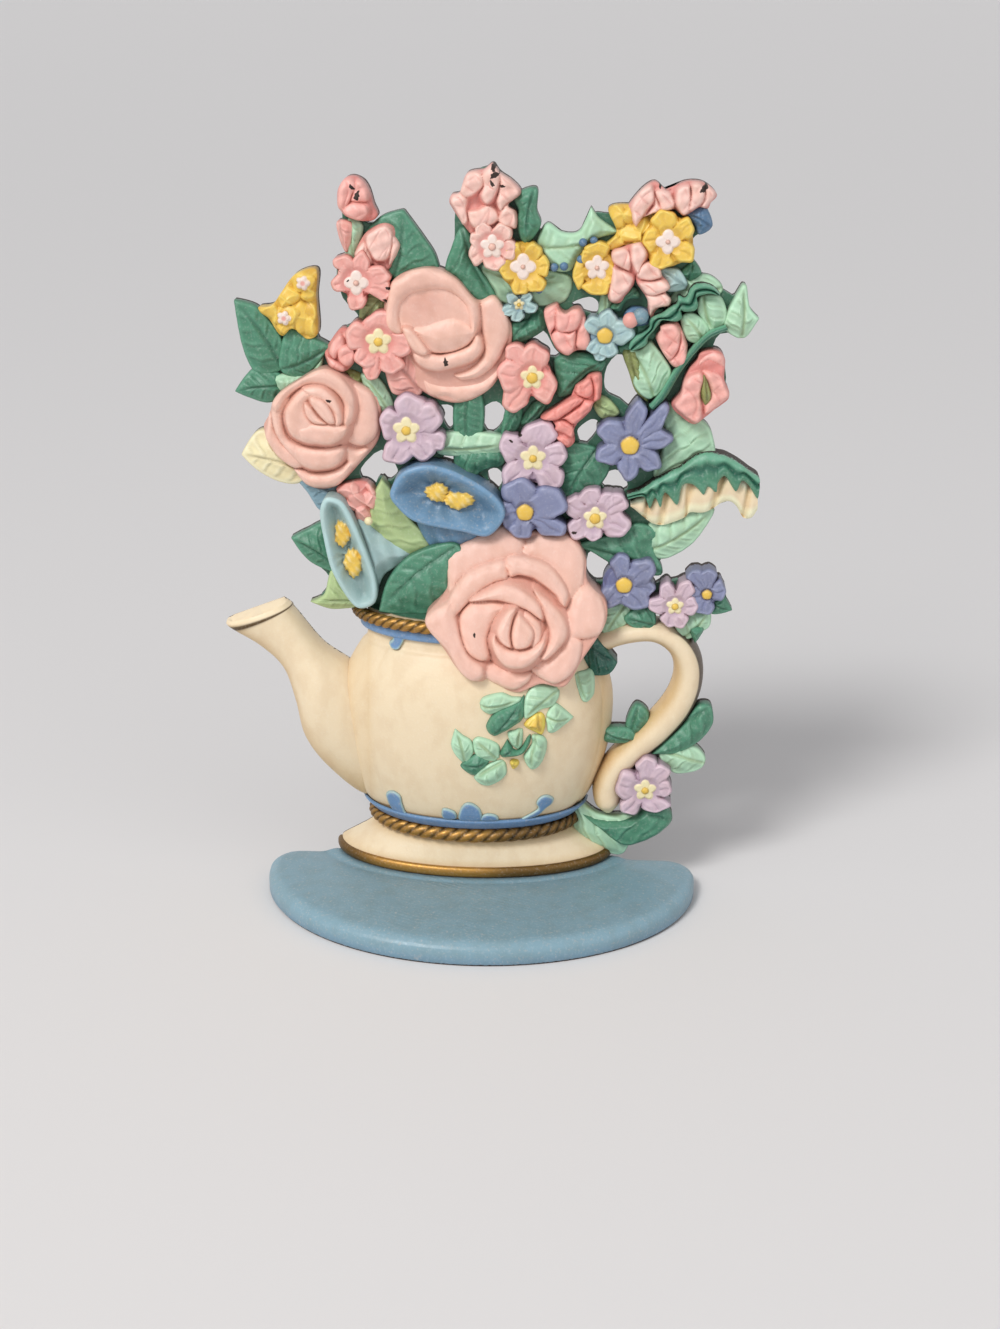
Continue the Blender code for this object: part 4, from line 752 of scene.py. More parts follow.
# Buds and blossoms seen from the side: node, enamel, their base's level and outline, then each petal's
BLOSSOMS = [
    ("pink_bud_spike", Paint.PINK, shapes("""
9.4: -49.5 271, -46.5 272, -43 270.5, -41 267.5, -39.5 262.5, -38 258.5, -41 256.5, -48.5 258, -51.5 261,
  -52 266.5;
12.8: -50.5 270, -47 271.5, -45 269, -46.5 266, -48 262, -50 260, -52 262;
12.2: -45.5 270.5, -43 270.5, -41 267.5, -41 264, -43.5 263, -47 263.5, -46.5 266;
13.4: -50 260.5, -47 263, -43.5 263, -41.5 262, -41 259.5, -44 257, -47.5 258""")),
    ("pink_blossom_upper_left", Paint.PALE_PINK, shapes("""
9: -46.5 244.5, -43.5 251, -40.5 254, -35.5 256, -31.5 254, -30 248.5, -34.5 239.5, -39 240, -42 242.5;
12.6: -40.5 253, -35.5 255.5, -32.5 253, -34 244.5, -38 243, -41 246.5, -42 250.5;
11.2: -46.5 245, -43 249.5, -41 246.5, -40 243, -41 240.5, -45 243;
11.4: -32.5 252, -30 248.5, -31.5 244.5, -34 241.5, -34 245, -33.5 248.5""")),
    ("pink_bud_left", Paint.PINK, shapes("""
9: -57.5 211, -52 218.5, -48 217.5, -46 212, -46.5 207.5, -50.5 203, -55.5 204, -57.5 207.5;
12.2: -56 210.5, -54.5 214.5, -51.5 217, -49.5 214, -52 210.5, -54 208;
13: -52.5 211.5, -49.5 213.5, -46.5 211.5, -47 207, -50 205.5, -52.5 208;
11.6: -57 209, -54 207.5, -50.5 205.5, -51 203, -55 204, -56.5 206.5;
11.8: -51 217, -48 217.5, -45.5 213.5, -46.5 212, -49.5 214""")),
    ("pink_blossom_top", Paint.PALE_PINK, shapes("""
10: 2.5 277, 5 274, 9.5 271, 12.5 267, 8 263, 11 260.5, 11 255, 8 255, -2.5 253, -5.5 253, -12.5 263,
  -12 266, -9 267, -6.5 273.5, -0.5 275;
13.6: -9 267.5, -7.5 271, -6.5 273.5, -4 274.5, -1 273.5, -0.5 269.5, -6 265.5;
14.2: -1 273.5, 1 276, 3 276.5, 5 274, 5 270.5, 3 265.5, 0.5 263.5, -1.5 266, -0.5 269.5;
13.2: 5 274, 9.5 271, 12 267.5, 10 265, 7.5 263.5, 5.5 261, 4 264, 5 269.5;
12.8: -12 263.5, -11.5 266, -8.5 267, -6 265, -6.5 261.5, -6 257.5, -8 256, -9.5 259.5;
13: -6 260.5, -2.5 261.5, 1 263, 4 261, 4.5 257.5, -2.5 254.5, -5 256.5;
12.8: 5.5 261, 7.5 263.5, 10 261.5, 11 258, 10.5 255, 7.5 255.5, 4.5 257.5""")),
    ("pink_blossom_right", Paint.PALE_PINK, shapes("""
10: 49.5 262.5, 54.5 269, 59 271.5, 63.5 268.5, 69 271.5, 75.5 271.5, 80.5 267.5, 78.5 264.5, 77.5 262.5,
  74.5 263, 69.5 260, 66.5 262, 61 261.5, 54.5 259, 53 256, 51.5 258, 51 261;
13.4: 51 263.5, 53.5 268.5, 57 270.5, 58.5 268.5, 58.5 265, 56 261.5, 54 258, 52.5 256.5, 51 259.5;
13: 59 268.5, 63.5 268.5, 66 264.5, 64.5 262, 61.5 261.5, 60.5 264.5;
12.2: 58.5 263.5, 59 266.5, 60.5 264.5, 61.5 261.5, 58 260, 55.5 259.5;
13.6: 66.5 269, 68.5 270.5, 71 270, 71 262, 69 260.5, 67 262.5, 66 265.5;
13.8: 71.5 271, 74 271.5, 76 269.5, 75.5 265, 71 262, 71.5 266.5;
12.6: 76.5 270.5, 78.5 269.5, 80 267.5, 76.5 263, 75 263.5, 76 266.5""")),
    ("pink_flower_side_left", Paint.PALE_PINK, shapes("""
10: 44.5 247.5, 48 249, 54.5 251, 57 248.5, 57.5 244, 53.5 239, 52.5 235.5, 48 229.5, 45 229.5, 43.5 232,
  45 241;
14: 51.5 250.5, 53.5 251.5, 56.5 248.5, 56.5 246, 55 242.5, 54 240, 51.5 244.5;
13: 44.5 247.5, 48.5 249, 51 247, 51.5 243, 50.5 241, 45 244;
13.2: 44.5 242, 47.5 241.5, 51 240, 52.5 238, 50.5 234, 47 230.5, 44.5 230.5, 44 234, 44.5 238""")),
    ("pink_flower_side_right", Paint.PALE_PINK, shapes("""
10.5: 55.5 244, 58.5 244.5, 61.5 243, 62.5 239.5, 64.5 237.5, 65.5 235, 64 233.5, 66 231, 65.5 228.5,
  62 228, 60.5 226.5, 59.5 224, 58 226.5, 57.5 231, 53.5 237, 53.5 241.5;
13.4: 55 243.5, 58.5 244.5, 61.5 242.5, 62.5 239.5, 59.5 238, 56 238, 53.5 239.5;
13.8: 54.5 237, 59 237.5, 63 238, 65.5 235.5, 62.5 233.5, 58.5 232.5, 56 234;
13.2: 57 232.5, 60.5 233, 64 233.5, 66 231.5, 65 229, 60.5 228, 58.5 225, 58 228.5""")),
    ("pink_rosebud", Paint.PINK, shapes("""
10.5: 21 226, 25.5 229, 27 227, 29 226, 31.5 227.5, 34 227.5, 36 224, 38 215.5, 37.5 213, 32 212, 30 210.5,
  27 211.5, 25 214;
13.6: 21 226.5, 25.5 229, 25.5 222, 24 218.5, 25.5 214.5, 23.5 216.5;
14.8: 25.5 228, 27 227, 29.5 227, 32.5 228, 34.5 226.5, 34 223, 32 220, 26 220;
14: 24 218.5, 27 220, 30 219, 32.5 220, 32 212.5, 29.5 211, 25 214.5;
13.2: 33 220, 34.5 224.5, 36 224.5, 38 216, 37 213, 34 213, 32.5 215""")),
    ("pink_bud_right", Paint.PINK, shapes("""
10: 62.5 222, 68.5 223, 72.5 215, 72.5 212.5, 73.5 210.5, 71.5 207.5, 68.5 206.5, 65.5 209.5, 61 217.5,
  62.5 220.5;
13.8: 62.5 222, 66.5 223, 69.5 220.5, 69.5 215.5, 68 211.5, 65.5 210, 62 215, 61.5 219;
12.8: 70 220.5, 72 215.5, 72.5 212, 71.5 208, 68.5 207, 66 209.5, 68.5 212.5, 69.5 215.5""")),
    ("pink_tulip", Paint.PINK, shapes("""
11.8: 77 212.5, 80.5 213.5, 84 213, 86 210, 86 203, 88 198.5, 87.5 195.5, 83 192, 76.5 186.5, 73.5 187.5,
  69 191, 67.5 194, 70.5 198, 71.5 202.5, 73.5 207, 76 210;
12.8: 76.5 209.5, 79 212, 82.5 213, 85.5 211.5, 86 207.5, 83.5 208.5, 80 210, 77 208;
14.8: 68.5 193.5, 70.5 198, 71.5 203, 77 206, 78.5 203, 77.5 198.5, 78.5 191.5, 77 187.5, 74.5 188.5;
13.4: 78 206, 81.5 206, 84.5 204.5, 87 200, 88 197, 80 190.5, 79 193, 81 196.5, 81 200""")),
    ("coral_bud", Paint.CORAL, shapes("""
11.2: 20.5 188, 33 197, 32.5 198.5, 33 200, 36 202, 38 204, 42 204, 42 195.5, 39.5 193.5, 38.5 190.5,
  34 186, 32.5 183, 33 179, 30 177, 25 182, 26 185, 24 187;
13.6: 33 199, 33.5 200.5, 37.5 203, 39 201, 39 197, 36.5 195.5, 32.5 197.5;
13: 38.5 203.5, 40.5 205, 42 203.5, 41.5 195.5, 39.5 194, 39.5 198.5;
14.2: 21 188, 24.5 191.5, 33 196, 36 195, 33 192.5, 27 188, 23 187;
13.6: 36 195, 39.5 194, 38.5 191, 36 189, 33 186, 29.5 187.5, 28 188, 34.5 192.5;
13.4: 24.5 186, 28.5 187.5, 33 184, 32 181, 29 182.5, 26 183.5;
12.6: 25.5 181.5, 27.5 181.5, 30.5 181, 32 179, 30 177.5, 27 179""")),
]

# Berries and the smallest buds as (x, z, radius, height of their middle, tone)
BEADS = [
    (34.4, 250.4, 1.5, 9.8, Paint.DEEP_BLUE), (38.2, 251.1, 1.4, 9.8, Paint.DEEP_BLUE),
    (33.8, 244.5, 1.5, 10, Paint.DEEP_BLUE), (24.4, 241.6, 1.5, 9.8, Paint.DEEP_BLUE),
    (27.9, 242, 1.5, 9.8, Paint.DEEP_BLUE), (19.2, 233.4, 1.3, 8.6, Paint.DEEP_BLUE),
    (51.8, 224, 2.8, 13, Paint.PINK), (55.3, 225.4, 2.9, 12.6, Paint.BLUE),
    (-42.2, 148.8, 1.6, 14.4, Paint.BUTTER),
]

# Tiny flowers on the yellow blossom as (x, z, radius, height)
TINY_FLOWERS = [(-64.5, 235.1, 2.7, 12.4), (-71.6, 222.6, 2.7, 12.4)]

# Roses: their base's level and outline, then each petal's level, puff, edge width and outline
ROSE_TOP = shapes("""
9.6: -21 241.2, -10.5 237.9, -2.7 230, 3.4 231.2, 8.4 223.9, 9.9 217.9, 8.2 208.9, 2.2 197.9, -8.6 192.4,
  -19.5 194.6, -26.7 201, -32 213.6, -36.1 226, -32.4 236.6;
15.4 3.4 3.2: -35.5 222.5, -33 236, -29.5 238, -25.5 241, -21 242, -17 240.5, -12.5 239.5, -8.5 237,
  -2.5 229.5, -1.5 224.5, -2.5 219, -4.5 218, -6.5 228, -14 233.5, -24.5 232.5, -28.5 230, -30 226.5,
  -30 222.5, -28.5 218.5, -31 217.5, -34.5 219.5;
13.2 0.6 4: -30.5 230, -24.5 233.5, -15.5 234.5, -8 231.5, -3.5 225, -3.5 218, -12 214, -24.5 215.5,
  -30.5 221;
15.6 3.6 7: -26 219.5, -21 221, -10.5 224, -3 219.5, -5.5 214.5, -10 212, -15.5 211, -20 212;
16.2 1.8 2: -29 220, -26 220, -20 212.5, -21 210.5, -24.5 211.5, -27 215;
14.6 3.2 3: -21.5 211.5, -15.5 210.5, -5.5 214, -3 218, -1 216.5, -0.5 213, -2 210, -5.5 207.5, -15.5 204.5,
  -21 205, -24.5 207.5, -25.5 211;
12.4 3.2 3.6: -1.5 229.5, 3.5 231.5, 6.5 228.5, 8.5 224, 9 218, 5 208, -2 202, -8.5 201, -11 203,
  -6.5 204.5, -2 208, 0 212.5, -2 224;
10.6 3.2 3.6: -24 206, -21.5 201.5, -16 199.5, -8.5 199.5, -1.5 201, 3 204.5, 7.5 209.5, 7.5 204.5,
  5.5 199.5, 2 196.5, -8.5 192, -14 194, -19.5 193.5, -22 197""")
ROSE_LEFT = shapes("""
9.4: -57.3 204.9, -66.9 200.7, -75.4 194.3, -78.6 186.9, -80.9 181.7, -76.8 172.8, -70.7 167.3, -65 160.2,
  -55 160.1, -44.9 170.1, -38.5 179, -38.3 193.2, -47.3 200;
13 2.6 3.2: -79 184, -80 178, -74.5 170, -70 167.5, -66.5 168, -60.5 172.5, -67 174, -72.5 176.5, -75.5 181,
  -77 186.5, -78.5 188.5;
12.4 3 3.4: -70.5 167, -64.5 160.5, -54.5 160.5, -51 163.5, -48 168, -49 170.5, -53.5 167.5, -57.5 166,
  -63.5 165.5, -67.5 167;
12.6 3.2 3.6: -47.5 199.5, -40.5 195.5, -38 184.5, -39.5 179.5, -43 176.5, -46.5 176, -50 178, -49 183,
  -46.5 188, -46.5 193.5;
11.6 2.6 3: -50.5 176, -46.5 175, -43 175.5, -42 174, -44.5 170.5, -48 167.5, -50 169.5, -51 173;
14.8 2.8 3.4: -77 192.5, -73.5 198, -70 193.5, -73 188, -72.5 181.5, -70.5 178, -65.5 176, -59.5 175.5,
  -52 176.5, -50.5 174.5, -53 169.5, -58 167.5, -64 167.5, -68.5 170.5, -76 180.5;
16.4 3.2 4: -77 192, -72.5 198.5, -66 204, -58.5 205.5, -53 203.5, -49 199.5, -46.5 194.5, -47 187.5,
  -49.5 183.5, -51.5 185.5, -50.5 191.5, -53 196, -58.5 199, -65 198.5, -70.5 194.5, -73.5 189.5,
  -75.5 188.5;
17.2 2.6 3.2: -72 188.5, -69.5 193.5, -64.5 198, -61 195.5, -64 192.5, -63 187.5, -59.5 184, -53 183.5,
  -54.5 179.5, -61 177.5, -66.5 178.5, -70.5 181.5;
17.6 2.4 3: -67.5 184, -61.5 185.5, -49.5 184.5, -50.5 180.5, -55.5 177.5, -62 178, -66.5 179.5;
18 2.6 3: -65 198, -59 199, -54 195.5, -51.5 191, -51 186, -53.5 184.5, -54.5 189.5, -58 193.5, -62 195;
19.2 2.2 3: -62 195.5, -57.5 194, -54.5 190, -53.5 186, -56.5 186, -62 192.5;
18.6 2.2 3: -64.5 193, -62 191.5, -59.5 188, -56.5 185.5, -61 185.5, -64 188.5""")
ROSE_LARGE = shapes("""
19.6: 8.6 148.8, -4 144.5, -13 138, -13.2 124.5, -20.6 115.2, -16.9 108, -6.3 95, 3 91.5, 13.8 88.2,
  22.4 91.4, 31.4 90.8, 37.2 99.5, 45.9 113, 45.7 121, 38.9 128, 38 136, 31.5 144.6, 18.5 145.2;
23 3.4 5: -13 138, -8.5 140, -3 143, 2.5 144.5, 6 147, 8 147, 14.5 143, 14 137, 0 131.5, -6 127.5, -9.5 123,
  -11.5 120, -14 131;
22.2 3.4 5: 17.5 143, 31 144.5, 34.5 141.5, 37.5 138, 37.5 127.5, 34.5 122, 31 121.5, 28 127.5, 23 132.5,
  17.5 135, 13 136;
22.6 3.6 5: 34.5 125, 38.5 127, 43 125, 45.5 119, 46 114, 44 109.5, 36 107.5, 32 108.5, 31 117;
22.6 3.4 4: 36 108.5, 37.5 106.5, 37 101.5, 35 97, 31.5 93.5, 27 92, 20.5 95, 18.5 98, 24 101, 29.5 106,
  32 109.5;
22.6 3.4 4: -1 99.5, 3.5 99.5, 15 96, 19 96, 18 92.5, 11.5 89.5, -2 95.5, -3 98;
27.2 3.4 4: -21 115, -15.5 119.5, -11 121, -7 108, -4 102.5, 1 99, 1.5 96, -0.5 94, -3.5 94, -8 97.5,
  -12 104, -19 110.5;
26.2 3.6 3.6: -12 122.5, -5 131.5, 6.5 136, 9 134.5, 9.5 129.5, 5 128, 0 125, -4.5 121, -10.5 115.5;
26 3.8 3.8: 8.5 136, 13 137.5, 24.5 134.5, 32 125, 31 120, 29 121, 27 124, 19 129.5, 13.5 130.5, 10 130;
26.6 3.6 3.4: 19 126.5, 28.5 119, 32 113, 31 108, 24.5 101.5, 22 102.5, 25.5 110, 21.5 120.5;
26.4 3.6 4.4: -8 115, -6 119, -2 121.5, 6.5 121.5, 10.5 120, 7 117, 4 113, 2.5 108, 3.5 102, 0 100.5,
  -4.5 103, -7 108;
28.6 3.2 3.2: -4.5 122, 7 128, 12.5 127.5, 18 124.5, 22 120.5, 22.5 116, 16.5 119.5, 6 122.5;
29 3.2 3.2: 4 108.5, 5.5 104, 9 100, 14.5 99, 20 101.5, 23.5 106.5, 23.5 109.5, 20 107, 15.5 105.5,
  10.5 106, 6.5 108.5, 5.5 111;
27.6 3 3: 16.5 119, 21 116, 22.5 112.5, 22 108, 19 106, 18.5 109.5, 18 113.5, 15 117;
30.4 2.6 2.6: 10 120, 13 120.5, 12 117, 11 111.5, 11.5 107, 8 108.5, 6 113;
30.2 2.8 3: 14 118.5, 17 116, 19.5 113, 19.5 110, 17.5 107, 13 106.5, 11.5 110, 12 115""")

# Ribbon-like leaves: node, slot, enamel, crest, upper edge, lower edge
RIBBONS = [
    ("cream_petal_right", Slot.PALE_YELLOW, Paint.CREAM, 11.5,
     """54 156.5, 56 158, 58.5 159, 61 161, 64 162.5, 67.5 164, 71.5 165.5, 74.5 166.5, 79 167, 83 168,
     87 168.5, 90 168, 92.5 167.5, 94.5 166.5, 97 165.5, 100 163""",
     """54 155, 56.5 153, 59.5 150.5, 62.5 148.5, 66 148, 69.5 149, 74 151, 76 153, 80.5 153, 84 154.5,
     87.5 157, 90.5 157.5, 93 155.5, 95.5 151.5, 98.5 151.5, 100.5 154.5"""),
    ("serrated_leaf", Slot.GREEN, Paint.TEAL, 14,
     """52.5 160, 57 161.5, 59 163, 60.5 164, 62.5 165.5, 64.5 166.5, 68.5 169, 71.5 170.5, 74 172.5,
     76.5 174.5, 78.5 175.5, 80.5 176, 83.5 176, 85.5 175.5, 88 175, 92 173, 95 171, 97 169.5, 99.5 168,
     100.5 167""",
     """53 158.5, 59 159.5, 61 155, 63 159, 65 155.5, 66.5 161, 71 156.5, 72.5 163.5, 75.5 164.5, 78 163,
     80.5 160.5, 82 163.5, 85 161.5, 85.5 165, 88 167.5, 92 162, 94 166, 96.5 164.5, 100 159.5, 100.5 163"""),
    ("stalk_right", Slot.GREEN, Paint.TEAL, 12.5,
     "85.5 222.5, 79.5 220, 74.5 215, 68.5 207, 63 197.5, 59.5 193",
     "86.5 220.5, 81 218, 76.5 213.5, 71 206, 65.5 196, 61.5 191.5"),
    ("ribbon_leaf", Slot.GREEN, Paint.TEAL, 14,
     """83 233.5, 80.5 236, 77 237, 74 236.5, 72.5 235, 71 232, 68.5 232.5, 68 230, 65.5 228.5, 63 226.5,
     60.5 225.5, 58.5 224, 58.5 221.5, 56.5 219.5, 54 218.5, 52 216.5, 51.5 214""",
     """82.5 233, 79.5 233.5, 77 233, 75 232, 75.5 229.5, 74.5 227.5, 71 227, 69.5 227.5, 70 225, 68 223.5,
     63.5 224, 62 222.5, 60.5 220.5, 58.5 218, 58 215.5, 56 214, 53 213"""),
]

# Where the frill's deep pleats are, as shares of its length
FRILL_PLEATS = (0.165, 0.29, 0.457, 0.64, 0.905)

# The edges of the sheet behind the bouquet: the outer one, then the gaps that the flowers leave in it
SHEET_EDGES = [trace(edge) for edge in """
-46 113.2, -62 114, -57.5 123, -66 132, -69.5 138.5, -61 142, -59 151, -63 156, -67 161.5, -76 163, -86 169,
  -83 178, -78.5 183, -77 191, -87 194.5, -83 204, -86.5 212, -88 224, -79 223, -72 229.5, -66.5 236.5,
  -61.8 237.5, -62.5 226, -61 215, -57.5 211.5, -53 217, -45 221.5, -51 229, -53 239, -47.5 244, -50 249,
  -50.5 266, -46 269.5, -43 265, -43.5 256, -37 255.5, -30 258, -18 240, -14 240, -11 248.5, -10.5 261,
  -7 267, -3.5 273.5, 2.5 275, 8 270, 12 265, 17 265.5, 18 254.5, 27 251.5, 33 252.5, 37 259.5, 44.5 259.5,
  51 261.5, 53.5 266.5, 58 270, 63 267.5, 75 270.5, 79 267, 76.5 262, 77.5 256, 72 251, 71.5 243, 75 240.5,
  88 231.5, 91.8 235, 93 228.5, 96.5 223, 93 219, 84 218.5, 81.5 212.5, 85 211, 86.5 198, 79 188, 81.5 181,
  82 175, 91.5 171, 99 164, 99 153.5, 96 152.5, 92 157, 84 154, 79 144, 74 139.5, 67 136, 61.5 122,
  66 124.5, 72 125.5, 80 129, 84 130.5, 89 124, 91 116.5, 85 113, 46 113.2;
30.5 228.5, 37 231, 40.5 229, 40 224.5, 33.5 226;
15 214.8, 21 218.6, 25 212.5, 27.5 209.5, 23.5 208.6, 17.5 212;
43.8 206, 49.5 210.5, 55.8 195.5, 53 190.8, 49 193.5, 43.3 197;
38.7 186.6, 41.7 185.5, 40.8 180.8, 36.2 176, 33.8 179.5, 34 183;
-0.8 190, 4.2 192.6, 7.8 188.5, 5.4 182.4, 1.5 180.3, -1.3 185;
-17.2 190.3, -12 190.6, -10.4 185.4, -13 181.2, -15.6 185;
45.2 167, 49.5 167.6, 53.4 161.5, 50 159, 44.8 160, 42.4 163.6;
1 166.4, 4.7 167.6, 7.2 164.2, 5.3 159, 1.8 161.5;
38.7 135.6, 44 136.3, 47.4 129.4, 44.4 124.4, 38.8 126.3;
-17.4 170, -13.3 172.8, -10.6 171.8, -12 168, -16 168;
-46.5 165.8, -38 173.8, -31.8 166, -35 161.6, -38.8 163, -41 159, -45 161""".split(";")]


def flat_back(x: Field, z: Field) -> Field:
    """Return the height of the back of the bouquet's features above the casting's flat back."""
    return np.full(len(x), 1.5)


def round_edge(depth: Field, radius: float) -> Field:
    """Return how far the skin falls towards an edge of that radius."""
    near = 1.0 - np.clip(depth / radius, 0.0, 1.0)
    return radius * (1.0 - np.sqrt(1.0 - near * near))


@dataclass
class Relief:
    """A feature that stands forward: flat behind, steep at its edge and carved in front.

    Its skin gives heights and colours, its back where it starts, and its wall how worn its sides are.
    """

    name: str
    outline: Outline
    skin: Skin
    around: int = 96
    along: int = 22
    back: Surface = flat_back
    wall: float = 1.0

    def cast(self, slot: Slot) -> Casting:
        """Make the piece and dress it.

        Args:
            slot: The material slot of its finish.

        Returns:
            The casting.
        """
        ball = Ball(self.name, self.around, self.along)
        row = np.rint(ball.along * self.along)
        rim = self.outline.at(ball.around)
        inwards = np.clip((row - 3.0) / (self.along - 3.0), 0.0, 1.0) ** 1.25
        share = np.where(row == 0, 0.0, 1.0 - inwards)
        x, z = (self.outline.centre + (rim - self.outline.centre) * share[:, None]).T
        low = self.back(x, z)
        front, rows = self.skin(x, z)
        front = np.maximum(front, low + 0.4)
        height = np.select([row <= 1, row == 2], [low, low + (front - low) * 0.55], front)
        ball.press(np.column_stack([x, BACK - height, z]))
        bare = np.select([row <= 1, row == 2, row == 3], [1.0, 0.3 * self.wall, 0.12 * self.wall], 0.0)
        # The side walls take a darker copy of the front's colour, a painted shade.
        ball.paint(rows * np.select([row <= 2, row == 3], [0.55, 0.75], 1.0)[:, None], bare, slot)
        return ball


@dataclass(frozen=True)
class Leaf:
    """A veined leaf whose tip is its pointed corner, or else its far end."""

    crest: float
    tone: Paint
    points: list[Point]

    def relief(self, name: str, ground: Surface | None = None) -> Relief:
        """Return the leaf as a relief.

        Args:
            name: The piece's name.
            ground: The height of what the leaf lies on, or none where it stands on the flat back.

        Returns:
            The relief.
        """
        outline = Outline(self.points)
        tips = np.array([point[:2] for point in self.points if len(point) == 3])
        tips = tips if len(tips) else outline.curve
        tip = tips[np.argmax(np.linalg.norm(tips - outline.centre, axis=1))]
        root = outline.curve[np.argmax(np.linalg.norm(outline.curve - tip, axis=1))]
        length = float(np.linalg.norm(tip - root))
        ahead = (tip - root) / length
        reach = max(2.0, float(outline.depth(outline.centre[:1], outline.centre[1:])[0]))

        def skin(x: Field, z: Field) -> tuple[Field, Field]:
            """Shape and colour the leaf.

            Args:
                x: Places to the right.
                z: Places upwards.

            Returns:
                Heights and colours.
            """
            depth = outline.depth(x, z)
            arm = np.stack([x, z], axis=-1) - root
            far = arm @ ahead
            side = arm[:, 0] * ahead[1] - arm[:, 1] * ahead[0]
            side = side - 0.05 * length * np.sin(math.pi * np.clip(far / length, 0.0, 1.0))
            rib = bell(side, 0.6) * smooth(length * 0.97, length * 0.7, far)
            gap = max(4.4, length / 5.0)
            phase = (far - 0.75 * np.abs(side) + 0.5 * np.sin(0.9 * side)) / gap + 0.35 * (side > 0)
            inner = smooth(0.6, 2.2, depth) * smooth(0.3, 1.6, np.abs(side))
            phase = np.mod(phase, 1.0)
            vein = bell(phase - 0.5, 0.10) * inner
            bank = bell(phase - 0.72, 0.13) * inner
            swell = 2.2 * smooth(0.0, reach, depth) - 2.2 + 0.25 * np.sin(0.5 * x + 0.8 * z) * np.sin(0.6 * z)
            height = self.crest + swell - round_edge(depth, 1.0) - 0.8 * rib - 0.35 * vein + 0.25 * bank
            # Painted shade in the midrib and vein grooves, olive-tinted on mint leaves, and painted
            # highlights on the edges and the ridges beside the veins.
            tone = self.tone.linear()
            pale = np.minimum(tone * 1.45 + 0.04, 1.0)
            minty = self.tone is Paint.MINT
            dark = mixed(Paint.OLIVE.linear(), tone, 0.4) if minty else tone * 0.6
            rows = mixed(tone, dark, np.clip(0.8 * rib + (0.3 if minty else 0.45) * vein, 0.0, 1.0))
            rows = mixed(rows, pale, 0.45 * bell(depth - 0.8, 0.5) + 0.35 * bank)
            return height if ground is None else height + ground(x, z), rows

        if ground is None:
            return Relief(name, outline, skin)
        return Relief(name, outline, skin, back=lambda x, z: ground(x, z) - 2.0, wall=0.3)


def folds(x: Field, z: Field, turn: float = 0.0) -> Field:
    """Lay out sharp wandering ridges.

    Args:
        x: Places to the right.
        z: Places upwards.
        turn: What makes one pattern of ridges differ from another.

    Returns:
        0 between the ridges to 1 on them.
    """
    first = np.sin(0.75 * x + 0.45 * z + 1.3 * np.sin(0.55 * z + turn) + turn)
    second = np.sin(0.7 * z - 0.5 * x + 1.1 * np.sin(0.6 * x + 2 * turn))
    return np.maximum((1 - np.abs(first)) ** 2, 0.8 * (1 - np.abs(second)) ** 2)


